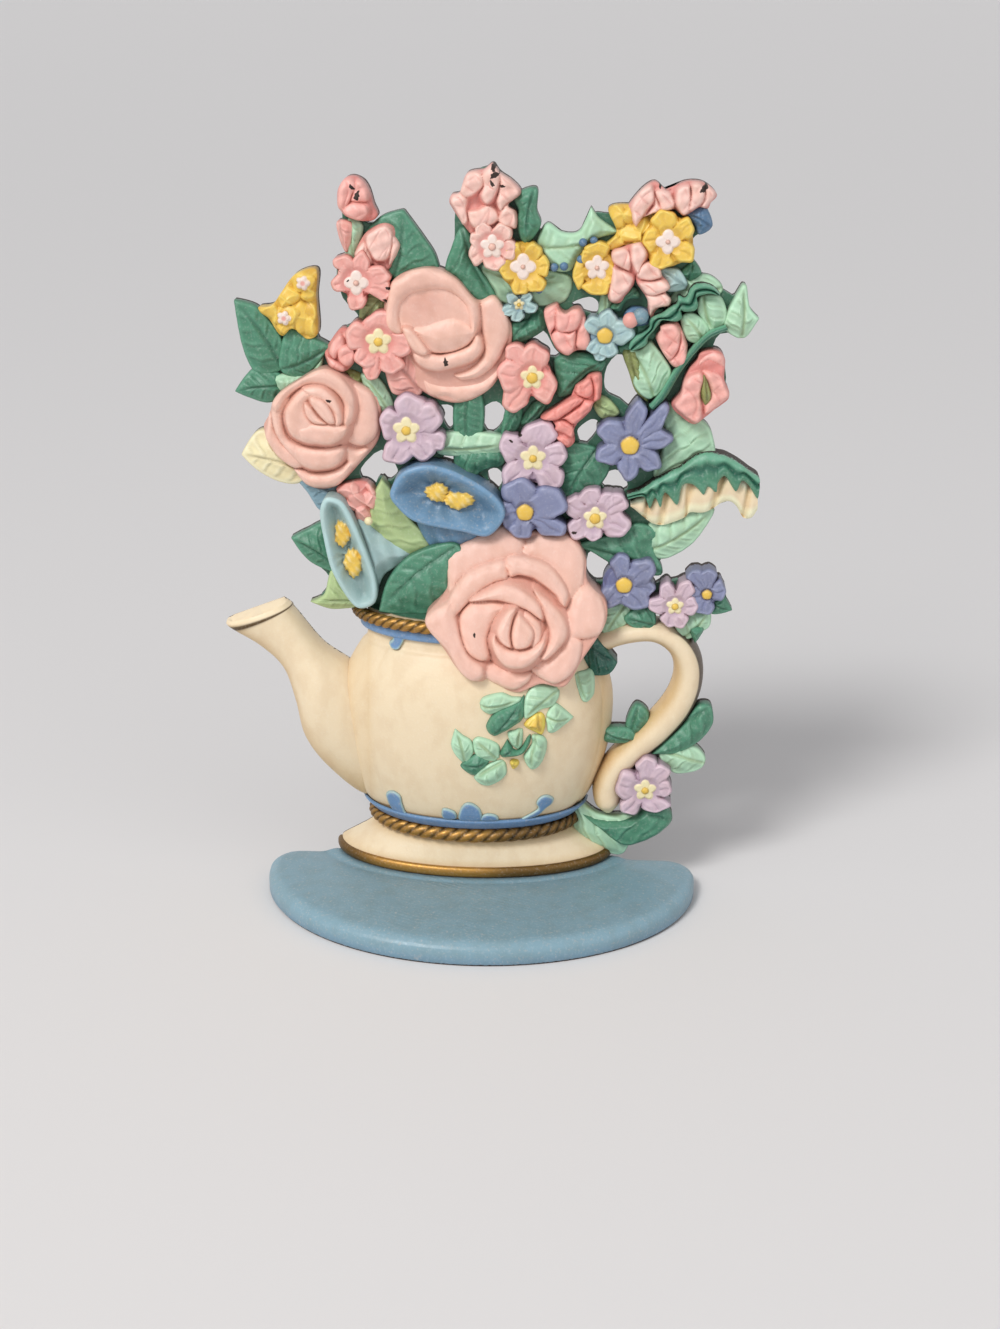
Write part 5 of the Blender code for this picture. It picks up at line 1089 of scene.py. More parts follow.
@dataclass(frozen=True)
class Bloom:
    """An open flower with broad joined petals round a star and a button."""

    node: str
    tone: Paint
    centre: Point
    crest: float
    star: tuple[float, float, Paint]
    button: float
    petals: list[Lobe]

    def reach(self, petal: Lobe, x: Field, z: Field) -> Field:
        """Measure where places lie on a petal and on the claw that joins it to the centre.

        Args:
            petal: The petal.
            x: Places to the right.
            z: Places upwards.

        Returns:
            0 in the petal's middle and 1 on its edge.
        """
        arm = np.array([petal.x - self.centre[0], petal.z - self.centre[1]])
        span = float(np.linalg.norm(arm))
        along = ((x - self.centre[0]) * arm[0] + (z - self.centre[1]) * arm[1]) / span
        side = np.abs((x - self.centre[0]) * arm[1] - (z - self.centre[1]) * arm[0]) / span
        share = np.clip(along / span, 0.0, 1.0)
        wide = min(petal.wide, petal.tall) * (0.5 + 0.5 * share)
        claw = np.hypot(side, np.minimum(along, 0.0)) / wide + 4.0 * np.maximum(along / span - 1.0, 0.0)
        return np.minimum(petal.reach(x, z), claw)

    def hub(self) -> float:
        """Find how far out the petals are joined.

        Returns:
            The radius.
        """
        reaches = [math.hypot(petal.x - self.centre[0], petal.z - self.centre[1])
                   + 0.5 * min(petal.wide, petal.tall) for petal in self.petals if petal.rise > -0.7]
        return (1.2 if self.tone is Paint.YELLOW else 0.9) * min(reaches)

    def outline(self) -> Outline:
        """Trace the outer edge of all the petals.

        Returns:
            The edge.
        """
        angle = np.linspace(0.0, math.tau, 144, endpoint=False)[:, None]
        arm = np.linspace(0.4, 22.0, 200)[None, :]
        x, z = self.centre[0] + arm * np.cos(angle), self.centre[1] + arm * np.sin(angle)
        inside = np.min([petal.reach(x, z) for petal in self.petals], axis=0) <= 1.0
        inside |= arm < self.hub()
        far = np.max(np.where(inside, arm, 0.0), axis=1)
        rows = np.column_stack([self.centre[0] + far * np.cos(angle[:, 0]),
                                self.centre[1] + far * np.sin(angle[:, 0])])
        return Outline([tuple(row) for row in rows], steps=1)

    def skin(self, x: Field, z: Field) -> tuple[Field, Field]:
        """Shape and colour the flower.

        Args:
            x: Places to the right.
            z: Places upwards.

        Returns:
            Heights and colours.
        """
        far = np.hypot(x - self.centre[0], z - self.centre[1])
        turn = np.arctan2(z - self.centre[1], x - self.centre[0])
        heights, reaches, lips = [], [], []
        for number, petal in enumerate(self.petals):
            arm = np.array([petal.x - self.centre[0], petal.z - self.centre[1]])
            span = float(np.linalg.norm(arm))
            arm = arm / span
            side = (x - self.centre[0]) * arm[1] - (z - self.centre[1]) * arm[0]
            out = (x - self.centre[0]) * arm[0] + (z - self.centre[1]) * arm[1] - span
            reach = self.reach(petal, x, z)
            lip = bell(reach - 0.76, 0.15) * smooth(-2.5, 1.0, out)
            crease = bell(side + 0.3 * np.sin(far), 0.5) * smooth(1.0, 0.55, reach)
            ruffle = 0.15 * np.cos(2.1 * side + number) * smooth(0.9, 0.4, reach)
            puff = 1.9 * (1.0 - np.sqrt(np.clip(1.0 - reach ** 3, 0.0, 1.0)))
            puff = puff + 6.0 * np.maximum(reach - 1.0, 0.0)
            level = self.crest + petal.rise + 0.3 * (number % 2)
            heights.append(level + 0.4 * lip - 0.4 * crease + ruffle - puff)
            reaches.append(reach)
            lips.append(0.8 * lip - 0.3 * crease)
        best = np.argmax(heights, axis=0)[None]
        floor = self.crest - 1.5 - 2.2 * smooth(0.8, 1.0, far / self.hub())
        height = np.maximum(np.max(heights, axis=0), floor)
        reach = np.take_along_axis(np.array(reaches), best, axis=0)[0]
        light = np.take_along_axis(np.array(lips), best, axis=0)[0]
        tone, shade = self.tone.linear(), SHADE_OF.get(self.tone, Paint.DEEP_BLUE).linear()
        # Painted shade at the petal edges and creases, painted highlights on the lips; the random darker
        # patches are uneven tone.
        blush = 0.3 * smooth(0.2, 0.9, np.sin(0.5 * x + 0.3 * z) * np.sin(0.45 * z - 0.2 * x + self.crest))
        shade_and_patches = 0.6 * smooth(0.88, 1.05, reach) + 0.5 * np.maximum(-light, 0.0) + 0.4 * blush
        rows = mixed(tone, shade, shade_and_patches)
        rows = mixed(rows, np.minimum(tone * 1.3 + 0.08, 1.0), 0.5 * np.maximum(light, 0.0))
        radius, points, star_tone = self.star
        button = self.button * (1.0 + 0.03 * np.sin(5 * turn + radius))
        size = max(radius, self.button)
        height = np.minimum(height, self.crest - 1.0 + 1.3 * smooth(size * 0.85, size * 1.7, far))
        # Painted shade in the dip round the centre.
        rows = mixed(rows, shade, 0.45 * smooth(size * 1.45, size, far))
        if radius:
            lobe = np.abs(np.cos(points * (turn - 1.57) / 2))
            inside = radius * (0.72 + 0.32 * lobe ** 1.2) - far
            raised = self.crest - 1.2 + 0.8 * np.sqrt(np.clip(inside / 0.9, 0.0, 1.0))
            height = np.where(inside > 0, np.maximum(height, raised), height)
            # Painted shade in the notches between the star's points.
            hollow = 0.3 * smooth(0.3, 0.05, lobe) * (inside > 0)
            rows = mixed(rows, star_tone.linear(), smooth(-0.1, 0.25, inside))
            rows = mixed(rows, star_tone.linear() * (0.85, 0.7, 0.5), hollow)
        dome = np.sqrt(np.clip(1.0 - (far / button) ** 2, 0.0, 1.0))
        height = np.where(far < button, np.maximum(height, self.crest - 0.8 + 1.3 * dome), height)
        hue = Paint.ROSE if star_tone is Paint.STAR_PINK else Paint.YELLOW
        # The button darkens towards its edge, a painted shade round the dome.
        middle = mixed(hue.linear(), hue.linear() * 0.62, smooth(button - 0.6, button, far))
        return height, mixed(rows, middle, smooth(button + 0.1, button - 0.2, far))

    def build(self) -> None:
        """Make the flower in place of its node."""
        relief = Relief(f"{self.node}_petals", self.outline(), self.skin, 144, 48, wall=0.5)
        relief.cast(SLOT_OF[self.tone]).stand(SLOT_OF[self.tone], self.node)


@dataclass(frozen=True)
class Cluster:
    """A blossom seen from the side: crumpled petals heaped over a low base."""

    node: str
    tone: Paint
    level: float
    points: list[Point]
    petals: list[Lobe]

    def build(self) -> None:
        """Make the blossom in place of its node."""
        outline = Outline(self.points)

        def skin(x: Field, z: Field) -> tuple[Field, Field]:
            """Shape and colour the blossom.

            Args:
                x: Places to the right.
                z: Places upwards.

            Returns:
                Heights and colours.
            """
            depth = outline.depth(x, z)
            heights, reaches = [], []
            for number, petal in enumerate(self.petals):
                reach = petal.reach(x, z)
                lean = 0.3 * ((x - petal.x) * math.cos(1.9 * number) + (z - petal.z) * math.sin(1.9 * number))
                puff = 2.0 * (1.0 - np.sqrt(np.clip(1.0 - reach ** 2.6, 0.0, 1.0)))
                heights.append(petal.rise + lean - puff - 3.0 * np.maximum(reach - 1.0, 0.0))
                reaches.append(reach)
            best = np.argmax(heights, axis=0)
            reach = np.take_along_axis(np.array(reaches), best[None], axis=0)[0]
            ridge = folds(0.6 * x, 0.6 * z, 0.01 * self.points[0][0])
            height = self.level + np.maximum(np.max(heights, axis=0), -2.4) + 0.7 * ridge - 0.3
            tone, shade = self.tone.linear(), SHADE_OF[self.tone].linear()
            # Painted shade where the petals meet and painted highlights on the ridges.
            rows = mixed(tone, shade, 0.55 * smooth(0.85, 1.15, reach))
            rows = mixed(rows, np.minimum(tone * 1.3 + 0.08, 1.0), 0.45 * smooth(0.35, 0.95, ridge))
            for cx, cz, size, level in TINY_FLOWERS if self.tone is Paint.YELLOW else ():
                far, turn = np.hypot(x - cx, z - cz), np.arctan2(z - cz, x - cx)
                inside = size * (0.72 + 0.28 * np.abs(np.cos(2.5 * turn))) - far
                raised = level + 0.7 * np.minimum(inside, 1.0)
                height = np.where(inside > 0, np.maximum(height, raised), height)
                rows = mixed(rows, Paint.STAR_PINK.linear(), smooth(-0.1, 0.2, inside))
                rows = mixed(rows, Paint.PINK.linear(), smooth(1.1, 0.6, far))
            return height - round_edge(depth, 0.9), rows

        relief = Relief(f"{self.node}_petals", outline, skin, 144, 48, wall=0.8)
        relief.cast(SLOT_OF[self.tone]).stand(SLOT_OF[self.tone], self.node)


@dataclass(frozen=True)
class Rose:
    """A rose or a bud of overlapping petals (level, puff, edge width, outline) over a low base.

    It leans back above its middle by that share, and its darker patch is a painted shade over a hollow (x, z,
    radius).
    """

    node: str
    base: float
    points: list[Point]
    petals: list[tuple[float, float, float, list[Point]]]
    tone: Paint = Paint.ROSE
    lean: float = 0.0
    middle: float = 0.0
    folded: float = 0.0
    blush: Point = (0.0, 0.0, 0.0)

    def build(self) -> None:
        """Make the rose in place of its node."""
        outline = Outline(self.points)
        layers = [(level, puff, edge, Outline(points, 4)) for level, puff, edge, points in self.petals]

        def skin(x: Field, z: Field) -> tuple[Field, Field]:
            """Shape and colour the rose.

            Args:
                x: Places to the right.
                z: Places upwards.

            Returns:
                Heights and colours.
            """
            best, inside = np.full(len(x), self.base), np.full(len(x), -1.0)
            for level, puff, edge, shape in layers:
                depth = shape.depth(x, z)
                near = 1.0 - np.clip(depth / edge, 0.0, 1.0)
                height = level - puff * (1.0 - np.sqrt(1.0 - near ** 2)) + 1.6 * np.minimum(depth, 0.0)
                higher = height > best
                inside = np.where(higher, depth, inside)
                best = np.where(higher, height, best)
            ripple = 0.12 * np.sin(0.9 * x + 0.5 * z) * np.sin(0.7 * z - 0.3 * x)
            crease = folds(0.5 * x, 0.5 * z, 0.3 * self.points[0][1]) ** 2 * smooth(0.2, 1.5, inside)
            height = best + ripple - round_edge(outline.depth(x, z), 1.3) - self.lean * (z - self.middle)
            wave = np.sin(1.0 * x - 0.45 * z) * np.sin(0.9 * z + 0.5 * x)
            height = height - self.folded * (0.8 * crease + 0.65 * wave)
            tone, shade = self.tone.linear(), SHADE_OF[self.tone].linear()
            # Painted shade in the valleys below the petal edges and in the creases, painted highlights along
            # the lips.
            rows = mixed(mixed(tone, shade, 0.65), tone, smooth(-0.8, 0.9, inside))
            rows = mixed(rows, shade, 0.45 * self.folded * crease)
            pale = np.minimum(tone * 1.16 + 0.04, 1.0)
            rows = mixed(rows, pale, 0.7 * bell(inside - 1.1, 0.9) * (1.0 - crease))
            # The darker patch paints shade into a hollow.
            bx, bz, span = self.blush
            far = np.hypot(x - bx, z - bz) / max(span, 0.1)
            return height, mixed(rows, shade, 0.55 * np.exp(-far ** 2) * smooth(0.5, 2.0, inside))

        size = (140, 64) if self.folded else (220, 130)
        relief = Relief(f"{self.node}_petals", outline, skin, *size, wall=0.8)
        relief.cast(SLOT_OF[self.tone]).stand(SLOT_OF[self.tone], self.node)


@dataclass(frozen=True)
class Glory:
    """A morning glory: a raised rim round a sunk throat with its fringed stamens, over a cup."""

    node: str
    tone: Paint
    crest: float
    rim: list[Point]
    cup_crest: float
    cup: list[Point]
    stamens: list[Point]
    sink: float = 4.6
    fringe: float = 0.14

    def build(self) -> None:
        """Make the rim and its cup, joined in one piece in place of their node."""
        rim, cup = Outline(self.rim), Outline(self.cup)
        half = float(rim.depth(rim.centre[:1], rim.centre[1:])[0])
        stamens = [Lobe(*stamen, fringe=self.fringe) for stamen in self.stamens]
        tone = self.tone.linear()
        shade = tone * 0.62

        def face(x: Field, z: Field) -> tuple[Field, Field]:
            """Shape and colour the flower's face.

            Args:
                x: Places to the right.
                z: Places upwards.

            Returns:
                Heights and colours.
            """
            depth = rim.depth(x, z)
            turn = np.arctan2(z - rim.centre[1], x - rim.centre[0])
            fold = 0.3 * np.cos(9 * turn) * smooth(1.5, 4.0, depth)
            height = self.crest - self.sink * smooth(1.4, half * 0.8, depth) - round_edge(depth, 1.3) + fold
            # Painted shade in the sunk throat and a painted highlight on the raised rim.
            rows = mixed(tone, shade, 0.7 * smooth(2.0, half * 0.8, depth))
            rows = mixed(rows, np.minimum(tone * 1.25 + 0.03, 1.0), 0.6 * smooth(1.9, 1.2, depth))
            reach = np.min([lobe.reach(x, z) for lobe in stamens], axis=0)
            tufts = 0.3 * np.sin(1.5 * x + 0.4 * z) * np.sin(1.2 * z + 0.5 * x)
            tops = np.max([lobe.height(x, z, 2.2) for lobe in stamens], axis=0) + tufts
            height = np.maximum(height, self.crest - 1.6 + tops)
            # The tufts are paler on top, a painted highlight.
            gold = mixed(Paint.YELLOW.linear(), Paint.BUTTER.linear(), 0.4 * smooth(0.0, 0.3, tufts))
            return height, mixed(rows, gold, smooth(1.04, 0.92, reach + 0.12 * tufts))

        def flute(x: Field, z: Field) -> tuple[Field, Field]:
            """Shape and colour the fluted cup.

            Args:
                x: Places to the right.
                z: Places upwards.

            Returns:
                Heights and colours.
            """
            depth = cup.depth(x, z)
            wave = np.sin(1.1 * x + 0.35 * z)
            height = self.cup_crest - 3.0 + 3.0 * smooth(0.0, 6.0, depth) - round_edge(depth, 1.0)
            height = height + 0.2 * wave
            # The flutes are lighter on their crests and darker between them, painted light and shade.
            return height, mixed(shade, tone, 0.75 + 0.2 * wave)

        flower = Relief(f"{self.node}_face", rim, face, 160, 64, wall=0.0).cast(SLOT_OF[self.tone])
        low = Relief(f"{self.node}_cup", cup, flute, 96, 30).cast(SLOT_OF[self.tone])
        join(flower, [low])
        flower.stand(SLOT_OF[self.tone], self.node)


def join(first: Casting, others: list[Casting]) -> None:
    """Join pieces into one.

    Args:
        first: The piece that is kept.
        others: The pieces that become part of it.
    """
    bare_selection()
    for casting in [first, *others]:
        casting.piece.select_set(True)
    bpy.context.view_layer.objects.active = first.piece
    bpy.ops.object.join()


def along_stations(values: Field, share: Field) -> Field:
    """Find rows of values between stations.

    Args:
        values: A row of values for each station.
        share: Shares of the way from the first station to the last.

    Returns:
        A row of values for each share.
    """
    count = len(values)
    where = np.clip(share, 0.0, 1.0) * (count - 1)
    low = np.minimum(where.astype(int), count - 2)
    t = (where - low)[:, None]
    first, second = values[low], values[low + 1]
    before, after = values[np.maximum(low - 1, 0)], values[np.minimum(low + 2, count - 1)]
    start, end = (second - before) / 2, (after - first) / 2
    return (first * (2 * t ** 3 - 3 * t ** 2 + 1) + start * (t ** 3 - 2 * t ** 2 + t)
            + second * (3 * t ** 2 - 2 * t ** 3) + end * (t ** 3 - t ** 2))


@dataclass
class Strip:
    """A long arched feature along stations (upper edge x, z, lower edge x, z, crest).

    Its edge is how high its sides start, and its dip how far its far end sinks in the middle.
    """

    name: str
    stations: list[Point]
    edge: float
    colour: Callable[[Field, Field, Field, Field], Field]
    around: int = 48
    along: int = 120
    back: float = 1.5
    fullness: float = 1.0
    carve: Callable[[Field, Field], Field] | None = None
    dip: float = 0.0

    def cast(self, slot: Slot) -> Casting:
        """Make the piece and dress it.

        Args:
            slot: The material slot of its finish.

        Returns:
            The casting.
        """
        ball = Ball(self.name, self.around, self.along)
        row = np.rint(ball.along * self.along)
        share = np.clip((row - 2.0) / (self.along - 4.0), 0.0, 1.0)
        rows = along_stations(np.array(self.stations, dtype=float), share)
        from_end = np.minimum(row, self.along - row)
        end = np.select([from_end == 0, from_end == 1], [0.0, 0.8], 1.0)
        angle = ball.around * math.tau
        front = np.sin(angle) >= -1e-6
        across = np.cos(angle) * end
        middle, half = (rows[:, :2] + rows[:, 2:4]) / 2, (rows[:, :2] - rows[:, 2:4]) / 2
        lift = np.clip(np.sin(angle), 0.0, 1.0) ** self.fullness
        top = self.edge + (rows[:, 4] - self.edge) * lift
        if self.carve:
            top = top - self.carve(share, across) * smooth(0.05, 0.4, lift)
        top = np.where(end < 0.5, (top + self.back) / 2, top)
        height = np.where(front, top, self.back)
        x, z = (middle + half * across[:, None]).T
        z = z - self.dip * lift * end * smooth(0.93, 1.0, share)
        ball.press(np.column_stack([x, BACK - height, z]))
        bare = np.where(front, 0.5 * smooth(0.25, 0.0, lift) * (end > 0.9), 1.0)
        ball.paint(self.colour(x, z, share, across), bare, slot)
        return ball


@dataclass(frozen=True)
class Ribbon:
    """A long leaf, a stalk or the frill of the cream petal, between its upper and lower edges."""

    node: str
    slot: Slot
    tone: Paint
    crest: float
    upper: str
    lower: str

    def carve(self, share: Field, across: Field) -> Field:
        """Carve the folds across the frill, or the groove along a leaf.

        Args:
            share: How far along the ribbon the places are, from 0 to 1.
            across: How far across it they are, from -1 to 1 on its upper edge.

        Returns:
            How deep it is carved there.
        """
        if self.tone is Paint.CREAM:
            along = share - 0.04 * across
            pleats = [bell(along - pleat, 0.028) for pleat in FRILL_PLEATS]
            return 1.8 * np.max(pleats, axis=0) + 0.3 * np.sin(40 * share)
        middle = 0.2 if self.node == "serrated_leaf" else 0.0
        return 1.6 * bell(across - middle, 0.25)

    def colour(self, x: Field, z: Field, share: Field, across: Field) -> Field:
        """Colour the ribbon, with painted shade in its folds and painted highlights along its edges.

        Args:
            x: Places to the right; not used.
            z: Places upwards; not used.
            share: How far along the ribbon they are, from 0 to 1.
            across: How far across it they are, from -1 to 1 on its upper edge.

        Returns:
            Their colours.
        """
        hue = self.tone.linear()
        shade, most = (Paint.TAN, 0.45) if self.tone is Paint.CREAM else (Paint.DARK_TEAL, 0.8)
        rows = mixed(hue, np.minimum(hue * 1.5 + 0.05, 1.0), smooth(0.45, 0.8, across))
        rows = mixed(rows, np.minimum(hue * 1.3 + 0.03, 1.0), smooth(-0.3, -0.6, across))
        return mixed(rows, shade.linear(), most * np.clip(self.carve(share, across) / 1.6, 0.0, 1.0))

    def build(self) -> None:
        """Make the ribbon in place of its node."""
        stations = [(*a, *b, self.crest) for a, b in zip(trace(self.upper), trace(self.lower))]
        strip = Strip(f"{self.node}_casting", stations, self.crest - 3.0, self.colour, 40, 200,
                      carve=None if self.node == "stalk_right" else self.carve)
        strip.cast(self.slot).stand(self.slot, self.node)


@dataclass(frozen=True)
class Rope:
    """A round band of twisted strands, or a plain bead, that runs round the pot."""

    name: str
    node: str
    z: float
    half: float
    bulge: float
    radius: float
    tall: float
    strands: int = 0
    pitch: float = 12.5
    until: float = 1.0

    def build(self) -> None:
        """Make the band in place of its node."""
        ball = Ball(self.name, 28, 300 if self.strands else 160)
        turn = math.pi * self.until * ball.along
        length = (self.half + self.bulge) / 2 * turn
        angle = ball.around * math.tau
        wave = np.ones(len(angle))
        if self.strands:
            wave = np.abs(np.cos(self.strands * (angle - math.tau * length / self.pitch) / 2)) ** 0.8
        cap = np.sqrt(np.clip(np.minimum(ball.along, 1 - ball.along) / 0.012, 0.0, 1.0))
        reach = (0.78 + 0.22 * wave) * cap
        out = np.column_stack([-self.bulge * np.cos(turn), -self.half * np.sin(turn)])
        out = out / np.linalg.norm(out, axis=1, keepdims=True)
        x = POT_X - self.half * np.cos(turn) + out[:, 0] * self.radius * reach * np.cos(angle)
        y = BACK - self.bulge * np.sin(turn) + out[:, 1] * self.radius * reach * np.cos(angle)
        z = self.z + self.tall * reach * np.sin(angle)
        ball.press(np.column_stack([x, np.minimum(y, BACK), z]))
        gold = Paint.GOLD.linear()
        # Painted shade between the strands, and a painted light that brightens the front from its left to its
        # middle.
        lit = smooth(-52.0, -36.0, x) * smooth(14.0, -4.0, x)
        rows = mixed(gold * 0.25, gold * 1.15, smooth(0.15, 0.85, wave)) * (0.4 + 0.6 * lit)[:, None]
        ball.paint(rows, np.zeros(len(rows)), Slot.GOLD)
        ball.stand(Slot.GOLD, self.node)


@dataclass(frozen=True)
class Teapot:
    """The lobed pot on its flared foot, with its gold and blue trim.

    Levels are (height, half width, bulge in front of the flat back).
    """

    wall: float = 4.5
    lobes: int = 9
    lobe_depth: float = 1.1
    foot: tuple[Point, ...] = ((11.3, 52.6, 26.8), (14, 53.2, 27.2), (16, 52.6, 27.1),
                               (18.5, 48.5, 26.6), (22, 42.5, 25.8), (25, 38.6, 25),
                               (27, 37.2, 23.8), (30.6, 36.6, 23))
    body: tuple[Point, ...] = ((30.9, 39, 24.6), (34, 42, 26.4), (38, 44.8, 28),
                               (45, 47.8, 29.6), (54, 50.6, 31), (64, 52.4, 31.8),
                               (76, 52.9, 32), (85, 51.6, 31.2), (93, 48, 29.2),
                               (99, 44.4, 26.6), (102, 42.2, 24.6), (112.8, 42, 24.4))
    scallops: tuple[tuple[Point, ...], ...] = (
        ((-36.5, 41), (-35.5, 43.5), (-33, 44.5), (-30.5, 43), (-30, 40), (-29, 36), (-28, 34), (-34, 34.5)),
        ((-14.5, 37), (-14, 40), (-11.5, 40), (-9, 38.5), (-9, 35.5), (-13.5, 35)),
        ((-7.5, 35), (-7.5, 39.5), (-6, 42.5), (-4, 43.5), (-1.5, 42.5), (0.5, 40), (0.5, 35)),
        ((0.5, 35), (1, 37.5), (3.5, 38.5), (6.5, 37.5), (7, 35)),
        ((21.5, 42), (23, 44.5), (25.5, 45), (28, 43), (27.5, 40.5), (25, 38.5), (22, 35.5),
         (15, 34.5), (22, 39)))

    def groove(self, angle: Field) -> Field:
        """Return how far the pot's skin falls back between two lobes."""
        side = smooth(0.45, 0.8, np.abs(np.cos(angle)))
        return self.lobe_depth * side * (1.0 - np.abs(np.sin(self.lobes * angle / 2)) ** 0.7)

    def front(self, x: Field, z: Field) -> Field:
        """Find the pot's front.

        Args:
            x: Places to the right.
            z: Places upwards.

        Returns:
            Its heights there.
        """
        levels = np.array(self.body)
        half, bulge = np.interp(z, levels[:, 0], levels[:, 1]), np.interp(z, levels[:, 0], levels[:, 2])
        share = np.clip((x - POT_X) / half, -0.985, 0.985)
        angle = np.arccos(-share)
        return (bulge - self.groove(angle)) * np.sin(angle)

    def skin(self, name: str, levels: tuple[Point, ...], thick: float, extra: float = 0.0,
             lobes: bool = False, size: tuple[int, int] = (240, 120), until: float = 1.0) -> Casting:
        """Make a half-round skin of that thickness.

        Args:
            name: The piece's name.
            levels: Its levels, from its foot to its top.
            thick: How thick it is, measured inwards.
            extra: How far it stands outside its levels.
            lobes: Whether the pot's lobes show in it.
            size: How many faces it has around and up.
            until: The share of the way round that it covers, from the left.

        Returns:
            The casting, without its paint.
        """
        bare_selection()
        bpy.ops.mesh.primitive_grid_add(x_subdivisions=size[0], y_subdivisions=size[1], size=2.0)
        casting = Casting(name)
        flat = corners(casting.piece)
        around, up = (flat[:, 0] + 1) / 2, (flat[:, 1] + 1) / 2
        fine = along_stations(np.array(levels, dtype=float), np.linspace(0, 1, 400))
        reach = np.concatenate([[0.0], np.cumsum(np.linalg.norm(np.diff(fine, axis=0), axis=1))])
        z, half, bulge = (np.interp(up * reach[-1], reach, fine[:, k]) for k in range(3))
        angle = math.pi * around * until
        dent = self.groove(angle) if lobes else 0.0
        x = POT_X - (half + extra - dent) * np.cos(angle)
        y = BACK - (bulge + extra - dent) * np.sin(angle)
        casting.press(np.column_stack([x, y, z]))
        faces = casting.piece.data.polygons
        if faces[len(faces) // 2 + size[0] // 2].normal.y > 0:
            edit(casting.piece, bpy.ops.mesh.flip_normals)
        bpy.ops.object.modifier_add(type="SOLIDIFY")
        shell = casting.piece.modifiers[-1]
        shell.thickness = thick * MM
        shell.offset = -1.0
        bpy.ops.object.modifier_apply(modifier=shell.name)
        return casting

    def coat(self, casting: Casting, tones: Surface, slot: Slot) -> None:
        """Paint a skin's outer side and leave its inner one bare iron.

        Args:
            casting: The skin, whose outer vertices come before as many inner ones.
            tones: The colours by place.
            slot: The material slot of its finish.
        """
        places = corners(casting.piece)
        places[:, 1] = np.minimum(places[:, 1], BACK * MM)
        casting.piece.data.vertices.foreach_set("co", places.ravel())
        x, y, z = (places / MM).T
        outer = np.arange(len(x)) < len(x) // 2
        bare = np.where(outer, 0.8 * smooth(BACK - 1.2, BACK - 0.2, y), 1.0)
        casting.paint(tones(x, z), bare, slot)

    def cream(self, x: Field, z: Field) -> Field:
        """Colour the pot: tan as a painted shade in its grooves, towards its sides and by its ropes, and a
        darkened teal, also painted shade, where the bouquet closes it.

        Args:
            x: Places to the right.
            z: Places upwards.

        Returns:
            Their colours.
        """
        angle = np.arccos(-np.clip((x - POT_X) / 52.0, -0.999, 0.999))
        side = np.abs(x - POT_X)
        low = 0.35 * smooth(40.0, 33.0, z) + 0.3 * smooth(36.0, 52.0, side)
        groove = 0.3 * np.clip(self.groove(angle) / self.lobe_depth, 0, 1) ** 2 * smooth(12.0, 40.0, side)
        rows = mixed(Paint.CREAM.linear(), Paint.TAN.linear(), np.clip(low + groove, 0.0, 0.8))
        return mixed(rows, Paint.TEAL.linear() * 0.6, smooth(113.0, 113.3, z))

    def build(self) -> None:
        """Make the pot, its foot, ropes and trim."""
        lid = ((113.4, 41.0, 23.6), (113.6, 30.0, 17.0), (113.6, 2.0, 1.5))
        pot = self.skin("pot_casting", self.body + lid, self.wall, lobes=True, size=(240, 140))
        self.coat(pot, self.cream, Slot.CREAM)
        pot.stand(Slot.CREAM, "pot_body")
        foot = self.skin("foot_casting", self.foot, self.wall, size=(200, 60))
        self.coat(foot, self.foot_tones, Slot.CREAM)
        foot.stand(Slot.CREAM, "pot_foot")
        Rope("gold_edge_of_foot", "foot_gold_edge", 13.2, 53.5, 27.7, 1.4, 2.1).build()
        Rope("twisted_rope_at_waist", "waist_rope", 28.1, 39.4, 26.1, 2.9, 2.8, 3).build()
        Rope("twisted_rope_at_neck", "neck_rope", 111.2, 45.2, 26.6, 2.6, 2.4, 3, 11.0, 0.40).build()
        self.build_trim()

    def foot_tones(self, x: Field, z: Field) -> Field:
        """Return the foot's cream, tan below the rope as a painted shade, and tan along the gold edge."""
        share = 0.6 * smooth(21.0, 25.0, z) + 0.3 * smooth(18.5, 16.0, z)
        return mixed(Paint.CREAM.linear(), Paint.TAN.linear(), share)

    def build_trim(self) -> None:
        """Make the blue bands at the waist and the neck, with their scalloped lobes."""
        low = ((30.9, 39.0, 24.6), (33.0, 41.3, 26.0), (34.6, 42.5, 26.8), (35.3, 41.6, 26.0))
        band = self.skin("blue_band_at_waist", low, 1.6, extra=1.7, size=(200, 14))
        blue = Paint.TRIM_BLUE.linear()
        self.coat(band, lambda x, z: mixed(blue, Paint.DEEP_BLUE.linear(), smooth(34.6, 35.3, z)), Slot.BLUE)
        join(band, [self.drop(f"blue_scallop_{number + 1}", list(points))
                    for number, points in enumerate(self.scallops)])
        band.stand(Slot.BLUE, "waist_trim")
        high = ((105.0, 42.2, 24.6), (105.7, 43.6, 25.4), (108.3, 43.6, 25.4), (109.0, 42.4, 24.6))
        neck = self.skin("blue_band_at_neck", high, 1.4, extra=0.7, size=(200, 14), until=0.41)
        self.coat(neck, lambda x, z: np.tile(blue, (len(x), 1)), Slot.BLUE)
        curl = self.drop("blue_curl_at_neck", [(-33.5, 106), (-29, 106.5), (-29, 104.5), (-31, 101),
                                               (-33.5, 100.5), (-35, 102), (-33.5, 104)])
        join(neck, [curl])
        neck.stand(Slot.BLUE, "neck_trim")

    def drop(self, name: str, points: list[Point]) -> Casting:
        """Make a puffed blue lobe on the pot.

        Args:
            name: The piece's name.
            points: Its outline.

        Returns:
            The casting.
        """
        outline = Outline(points)

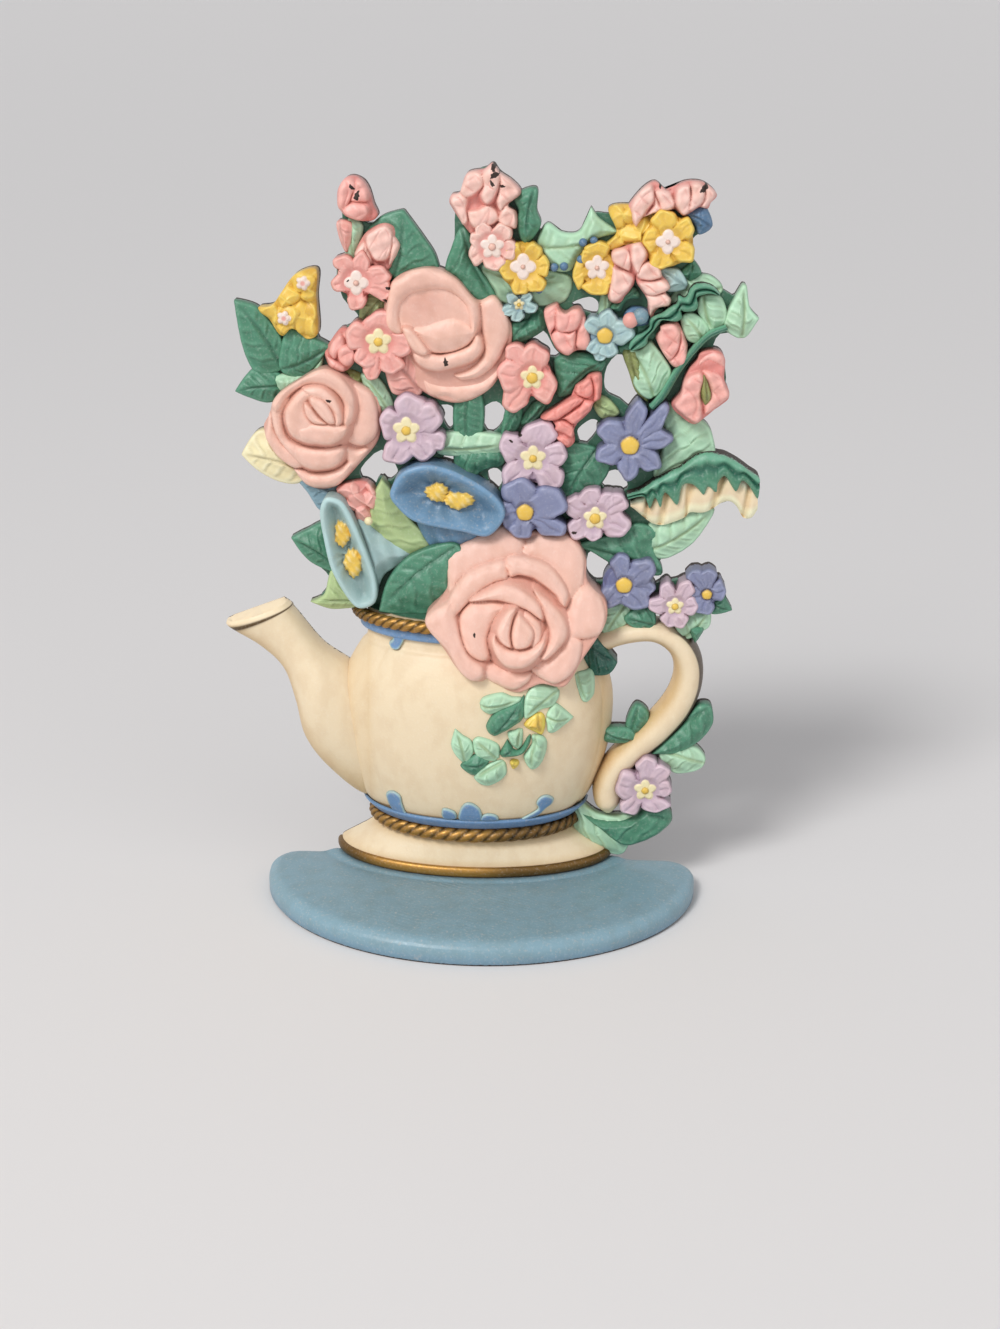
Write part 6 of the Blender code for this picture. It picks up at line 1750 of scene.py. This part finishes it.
        def skin(x: Field, z: Field) -> tuple[Field, Field]:
            """Shape and colour the lobe.

            Args:
                x: Places to the right.
                z: Places upwards.

            Returns:
                Heights and colours.
            """
            depth = outline.depth(x, z)
            height = self.front(x, z) + 1.7 - round_edge(depth, 1.4)
            return height, mixed(Paint.PALE_BLUE.linear(), Paint.TRIM_BLUE.linear(), smooth(0.2, 1.0, depth))

        relief = Relief(name, outline, skin, 60, 16, back=lambda x, z: self.front(x, z) - 1.5, wall=0.3)
        return relief.cast(Slot.BLUE)


@dataclass(frozen=True)
class Base:
    """The blue base: half an oval in front, rounded corners behind and a seat for the foot.

    The profile is (distance from the edge, height), and the seat (half width, depth, height).
    """

    width: float = 167.0
    depth: float = 78.0
    corner: float = 11.5
    seat: Point = (57.5, 31.0, 11.0)
    around: int = 320
    along: int = 90
    profile: tuple[Point, ...] = ((0, 5), (0.35, 6.3), (1.2, 7.3), (2.4, 8.2), (4, 8.9), (5.5, 9.3),
                                  (9, 9.7), (16, 10.2), (40, 10.4))

    def build(self) -> None:
        """Make the base in place of its node."""
        half, straight, reach = self.width / 2, self.depth / 2 - self.corner, self.depth - self.corner
        rim = [(-half * math.cos(a), straight - reach * math.sin(a)) for a in np.linspace(0, math.pi, 90)]
        turns = np.linspace(0, math.pi / 2, 10)
        for side, turn in ((1, turns[1:]), (-1, turns[:0:-1])):
            rim += [(side * (half - self.corner + self.corner * math.cos(a)),
                     straight + self.corner * math.sin(a)) for a in turn]
        outline = Outline(rim, steps=1)
        ball = Ball("base_casting", self.around, self.along)
        row = np.rint(ball.along * self.along)
        edge = outline.at(ball.around)
        inwards = np.clip((row - 5.0) / (self.along - 5.0), 0.0, 1.0) ** 1.3
        share = np.where(row == 0, 0.0, 1.0 - inwards)
        share = np.where(row == 1, 1.0 - 1.2 / half, share)
        x, y = (outline.centre + (edge - outline.centre) * share[:, None]).T
        inside = np.maximum(outline.depth(x, y), 0.0)
        profile = np.array(self.profile)
        top = np.interp(inside, profile[:, 0], profile[:, 1])
        oval = np.hypot((x - POT_X) / self.seat[0], np.clip(BACK - y, 0, None) / self.seat[1])
        seat = self.seat[2] - 3.0 * smooth(0.96, 1.12, oval)
        raised = np.maximum(top, np.where(oval < 1.1, seat, 0.0))
        top = top + (raised - top) * smooth(1.5, 5.0, inside)
        pits = 0.06 * np.sin(1.9 * x + 0.7 * y) * np.sin(2.3 * y - 0.4 * x)
        height = np.select([row <= 1, row == 2, row == 3, row == 4], [0.0, 1.2, 2.6, 4.0],
                           top + pits * (inside > 2))
        ball.press(np.column_stack([x, y, height]))
        blue = Paint.BLUE.linear()
        # A painted highlight along the rounded lip, and a painted shade low down on the sides.
        rows = mixed(blue, blue * 1.12 + 0.01, smooth(5.0, 2.0, inside))
        rows = mixed(rows, Paint.DEEP_BLUE.linear(), 0.35 * smooth(4.5, 1.5, height))
        ball.paint(rows, np.where(row <= 1, 1.0, 0.0), Slot.BLUE)
        ball.stand(Slot.BLUE, "base_plate")


@dataclass(frozen=True)
class Arms:
    """The spout and the handle, with the leaves that join the handle.

    The spout's stations are (upper edge x, z, lower edge x, z, crest), the handle's (x, z, half width).
    """

    spout: tuple[Point, ...] = (
        (-38, 80, -36, 38, 9), (-50, 89, -46, 34.5, 15), (-59.5, 95.3, -60, 46, 17),
        (-63.5, 99, -69, 58.5, 15.5), (-67.5, 104, -72.5, 73, 13),
        (-70.5, 108, -77, 86.5, 11.5), (-72.8, 110.8, -86, 95.5, 11),
        (-73.5, 112.2, -98.6, 103.4, 11), (-76.5, 114.3, -96.5, 106.5, 9.5))
    handle: tuple[Point, ...] = ((42, 99.5, 4.2), (52, 104, 4.4), (64, 105.6, 4.5),
                                 (73, 101.5, 5), (77.6, 94, 5.5), (78, 85, 5.8),
                                 (74.6, 75.5, 6.1), (67.5, 66, 6.1), (59, 57.5, 5.7),
                                 (52, 49.5, 5.6), (49, 41.5, 6), (48.8, 34.5, 5.2),
                                 (49.3, 30.6, 2.2))

    def spout_tones(self, x: Field, z: Field, share: Field, across: Field) -> Field:
        """Colour the spout cream, tan towards its underside as a painted shade and lighter on its mouth as a
        painted light, with its gold line near the mouth.

        Args:
            x: Places to the right; not used.
            z: Places upwards; not used.
            share: How far along the spout they are, from 0 to 1.
            across: How far across it they are, from -1 to 1 on its upper edge.

        Returns:
            Their colours.
        """
        rows = mixed(Paint.CREAM.linear(), Paint.TAN.linear(), 0.6 * smooth(-0.3, -0.95, across))
        rows = mixed(rows, Paint.CREAM.linear() * 1.1, smooth(0.87, 0.89, share))
        line = bell(share - 0.853, 0.013)
        return mixed(rows, Paint.GOLD.linear() * 0.25, np.minimum(1.5 * line, 1.0))

    def handle_tones(self, x: Field, z: Field, share: Field, across: Field) -> Field:
        """Colour the handle cream, tan on its inner side and dark along its outer edge.

        Args:
            x: Places to the right; not used.
            z: Places upwards; not used.
            share: How far along the handle they are, from 0 to 1.
            across: How far across it they are, from -1 to 1 on its outer edge.

        Returns:
            Their colours.
        """
        rows = mixed(Paint.CREAM.linear(), Paint.TAN.linear(), 0.75 * smooth(-0.2, -0.9, across))
        dark = 0.9 * smooth(0.62, 0.70, across) * smooth(0.2, 0.24, share) * smooth(0.75, 0.7, share)
        return mixed(rows, Paint.IRON.linear(), dark)

    def build(self) -> None:
        """Make the spout, the handle and the handle's leaves."""
        spout = Strip("spout_casting", list(self.spout), 0.6, self.spout_tones, 64, 120, back=0.2,
                      fullness=0.75, dip=3.0)
        spout.cast(Slot.CREAM).stand(Slot.CREAM, "spout")
        line = np.array(self.handle)
        along = np.gradient(line[:, :2], axis=0)
        along = along / np.linalg.norm(along, axis=1, keepdims=True)
        side = np.column_stack([-along[:, 1], along[:, 0]])
        stations = [(*(place[:2] + s * place[2]), *(place[:2] - s * place[2]),
                     11.0 * min(1.0, (place[2] + 1.5) / 5.5)) for place, s in zip(line, side)]
        handle = Strip("handle_casting", stations, 0.6, self.handle_tones, 64, 200, back=0.2, fullness=0.7)
        handle.cast(Slot.CREAM).stand(Slot.CREAM, "handle")
        grouped("handle", HANDLE_LEAVES)


def stand_by_tone(name: str, castings: list[tuple[Paint, Casting]]) -> None:
    """Join the castings of one tone into one piece and let it stand.

    Args:
        name: What they are, for the pieces' names.
        castings: The castings with their tones.
    """
    groups: dict[Paint, list[Casting]] = {}
    for tone, casting in castings:
        groups.setdefault(tone, []).append(casting)
    for tone, (first, *others) in groups.items():
        first.piece.name = f"{name}_{tone.name.lower()}"
        join(first, others)
        first.stand(SLOT_OF.get(tone, Slot.GREEN))


def grouped(place: str, leaves: list[tuple], ground: Surface | None = None) -> None:
    """Make leaves and join those of one tone into one piece.

    Args:
        place: Where they are, for the pieces' names.
        leaves: The leaves as (crest, tone, outline).
        ground: The height of what they lie on, if they don't stand on the flat back.
    """
    castings = []
    for number, leaf in enumerate(leaves):
        relief = Leaf(*leaf).relief(f"{place}_leaf_{number + 1}", ground)
        castings.append((leaf[1], relief.cast(SLOT_OF.get(leaf[1], Slot.GREEN))))
    stand_by_tone(f"{place}_leaves", castings)


@dataclass(frozen=True)
class Bouquet:
    """All that grows out of the pot."""

    web: float = 5.0

    def build_sheet(self) -> None:
        """Make the sheet behind the bouquet, with the gaps through it."""
        curve = bpy.data.curves.new("bouquet_sheet", "CURVE")
        curve.dimensions = "2D"
        curve.fill_mode = "BOTH"
        curve.extrude = (self.web - 0.6) / 2 * MM
        curve.bevel_depth = 0.3 * MM
        for edge in SHEET_EDGES:
            line = Outline(edge, 3).curve
            spline = curve.splines.new("POLY")
            spline.points.add(len(line) - 1)
            places = np.column_stack([line * MM, np.zeros(len(line)), np.ones(len(line))])
            spline.points.foreach_set("co", places.ravel())
            spline.use_cyclic_u = True
        piece = bpy.data.objects.new("bouquet_sheet", curve)
        bpy.context.collection.objects.link(piece)
        middle = Matrix.Translation((0, (BACK - self.web / 2) * MM, 0))
        piece.matrix_world = middle @ Matrix.Rotation(math.pi / 2, 4, "X")
        pick(piece)
        bpy.ops.object.convert(target="MESH")
        bpy.ops.object.transform_apply(location=True, rotation=True, scale=True)
        edit(piece, lambda: bpy.ops.mesh.remove_doubles(threshold=1e-7), face_out)
        casting = Casting("bouquet_sheet")
        front = corners(piece)[:, 1] / MM < BACK - self.web + 1.0
        # The leaves' teal, darkened as a painted shade for the recess behind the flowers.
        rows = np.tile(Paint.TEAL.linear() * 0.7, (len(front), 1))
        casting.paint(rows, np.where(front, 0.1, 1.0), Slot.GREEN)
        casting.stand(Slot.GREEN, "foliage")

    def build_beads(self) -> None:
        """Make the berries and the smallest buds."""
        castings = []
        for number, (x, z, radius, height, tone) in enumerate(BEADS):
            ball = Ball(f"berry_{number + 1}", 24, 14)
            ball.press(ball.start * radius + np.array([x, BACK - height, z]))
            count = len(ball.start)
            ball.paint(np.tile(tone.linear(), (count, 1)), np.zeros(count), SLOT_OF[tone])
            castings.append((tone, ball))
        stand_by_tone("berries", castings)

    def build(self) -> None:
        """Make the whole bouquet."""
        self.build_sheet()
        grouped("bouquet", LEAVES)
        self.build_beads()
        for ribbon in RIBBONS:
            Ribbon(*ribbon).build()
        for node, tone, x, z, crest, *star, button, petals in BLOOMS:
            Bloom(node, tone, (x, z), crest, tuple(star), button, [Lobe(*petal) for petal in petals]).build()
        for *fields, outline, petals in CLUSTERS:
            Cluster(*fields, trace(outline), [Lobe(*petal) for petal in trace(petals)]).build()
        for node, tone, (base, *petals) in BLOSSOMS:
            layers = [(level, 2.0, 2.2, edge) for level, edge in petals]
            Rose(node, *base, layers, tone, folded=0.6).build()
        Rose("rose_top", *ROSE_TOP[0], ROSE_TOP[1:], blush=(-22.0, 229.0, 8.0)).build()
        Rose("rose_left", *ROSE_LEFT[0], ROSE_LEFT[1:]).build()
        Rose("rose_large", *ROSE_LARGE[0], ROSE_LARGE[1:], lean=0.35, middle=118.0).build()
        Glory("morning_glory", Paint.GLORY_BLUE, 18.5,
              trace("-33.8 161, -29.5 168.2, -20.3 171.2, -9.7 168.8, 3.4 161.2, 8.3 153.3, 2.4 145,"
                    "-7.2 146.3, -24.8 149.8, -32.8 157"),
              14.0, trace("-24 152, -20.5 139, -12.7 136.3, -2 140.5, 1 149"),
              trace("-16.9 160.4 4.6 3.9, -8.9 157.6 6.2 3.6")).build()
        Glory("pale_morning_glory", Paint.PALE_BLUE, 18.0,
              trace("-57.3 158.2, -51 156.3, -45.2 144.3, -39.5 127.3, -40 118, -47.3 116.3,"
                    "-55.5 129.3, -58.6 142.3, -59.8 152.8"),
              14.5, trace("-47 148, -38.5 143.5, -26.5 135.4, -37 127, -42 117"),
              trace("-51.9 143.8 3.2 5.4, -48.1 132.8 3.7 6.2")).build()


@dataclass(frozen=True)
class Studio:
    """A plain pale floor and soft light from the upper left, in front."""

    place: Point = (36.4, -655.0, 341.4)
    turn: float = 2.5
    tilt: float = 70.0
    roll: float = 0.5
    lens: float = 52.0
    floor_size: float = 60.0

    def build_camera(self) -> None:
        """Add the camera at the photograph's viewing angle."""
        bpy.ops.object.camera_add(location=[part * MM for part in self.place])
        camera = bpy.context.object
        aim = Matrix.Rotation(math.radians(self.turn), 4, "Z")
        aim = aim @ Matrix.Rotation(math.radians(self.tilt), 4, "X")
        aim = aim @ Matrix.Rotation(math.radians(self.roll), 4, "Z")
        camera.rotation_euler = aim.to_euler()
        camera.data.lens = self.lens
        camera.data.sensor_fit = "AUTO"
        camera.data.sensor_width = 36.0
        bpy.context.scene.camera = camera

    def build_floor(self) -> None:
        """Add the floor."""
        bare_selection()
        bpy.ops.mesh.primitive_plane_add(size=self.floor_size, location=(0, 0, 0))
        floor = bpy.context.object
        floor.name = "studio_floor"
        paint = bpy.data.materials.new("floor_paper")
        paint.use_nodes = True
        shader = paint.node_tree.nodes["Principled BSDF"]
        shader.inputs["Base Color"].default_value = (0.80, 0.785, 0.78, 1.0)
        shader.inputs["Roughness"].default_value = 0.9
        floor.data.materials.append(paint)

    def build_light(self) -> None:
        """Add the lamps and the pale surroundings."""
        for name, place, size, power, tint in (
                ("key", (-0.55, -0.85, 0.95), 0.6, 4.0, (1.0, 0.96, 0.92)),
                ("fill", (0.9, -0.7, 0.5), 0.9, 1.5, (0.95, 0.97, 1.0))):
            bpy.ops.object.light_add(type="AREA", location=place)
            lamp = bpy.context.object
            lamp.name = f"{name}_lamp"
            aim = Vector((0.0, 0.0, 0.13)) - Vector(place)
            lamp.rotation_euler = aim.to_track_quat("-Z", "Y").to_euler()
            lamp.data.size = size
            lamp.data.energy = power
            lamp.data.color = tint
        bpy.ops.object.light_add(type="SUN", rotation=(math.radians(44), 0.0, math.radians(-34)))
        sun = bpy.context.object
        sun.name = "daylight"
        sun.data.energy = 1.26
        sun.data.angle = math.radians(16)
        world = bpy.data.worlds.new("pale_surroundings")
        bpy.context.scene.world = world
        world.use_nodes = True
        nodes, links = world.node_tree.nodes, world.node_tree.links
        background = nodes["Background"]
        path = nodes.new("ShaderNodeLightPath")
        seen = None
        for output in ("Is Camera Ray", "Is Glossy Ray", "Is Transmission Ray"):
            if seen is None:
                seen = path.outputs[output]
                continue
            either = nodes.new("ShaderNodeMath")
            either.operation = "MAXIMUM"
            links.new(seen, either.inputs[0])
            links.new(path.outputs[output], either.inputs[1])
            seen = either.outputs[0]
        mix = nodes.new("ShaderNodeMix")
        mix.data_type = "RGBA"
        mix.inputs[6].default_value = (0.42, 0.42, 0.43, 1.0)
        mix.inputs[7].default_value = (0.90, 0.90, 0.90, 1.0)
        links.new(seen, mix.inputs["Factor"])
        links.new(mix.outputs[2], background.inputs["Color"])

    def build(self) -> None:
        """Set the stage."""
        self.build_camera()
        self.build_floor()
        self.build_light()
        bpy.context.scene.view_settings.view_transform = "Standard"


def main() -> None:
    """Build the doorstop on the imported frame."""
    logging.basicConfig(level=logging.INFO, format="%(name)s: %(message)s")
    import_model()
    Studio().build()
    pot = Teapot()
    Base().build()
    pot.build()
    Arms().build()
    grouped("sprig", SPRIG, pot.front)
    Bouquet().build()


if __name__ == "__main__":
    main()
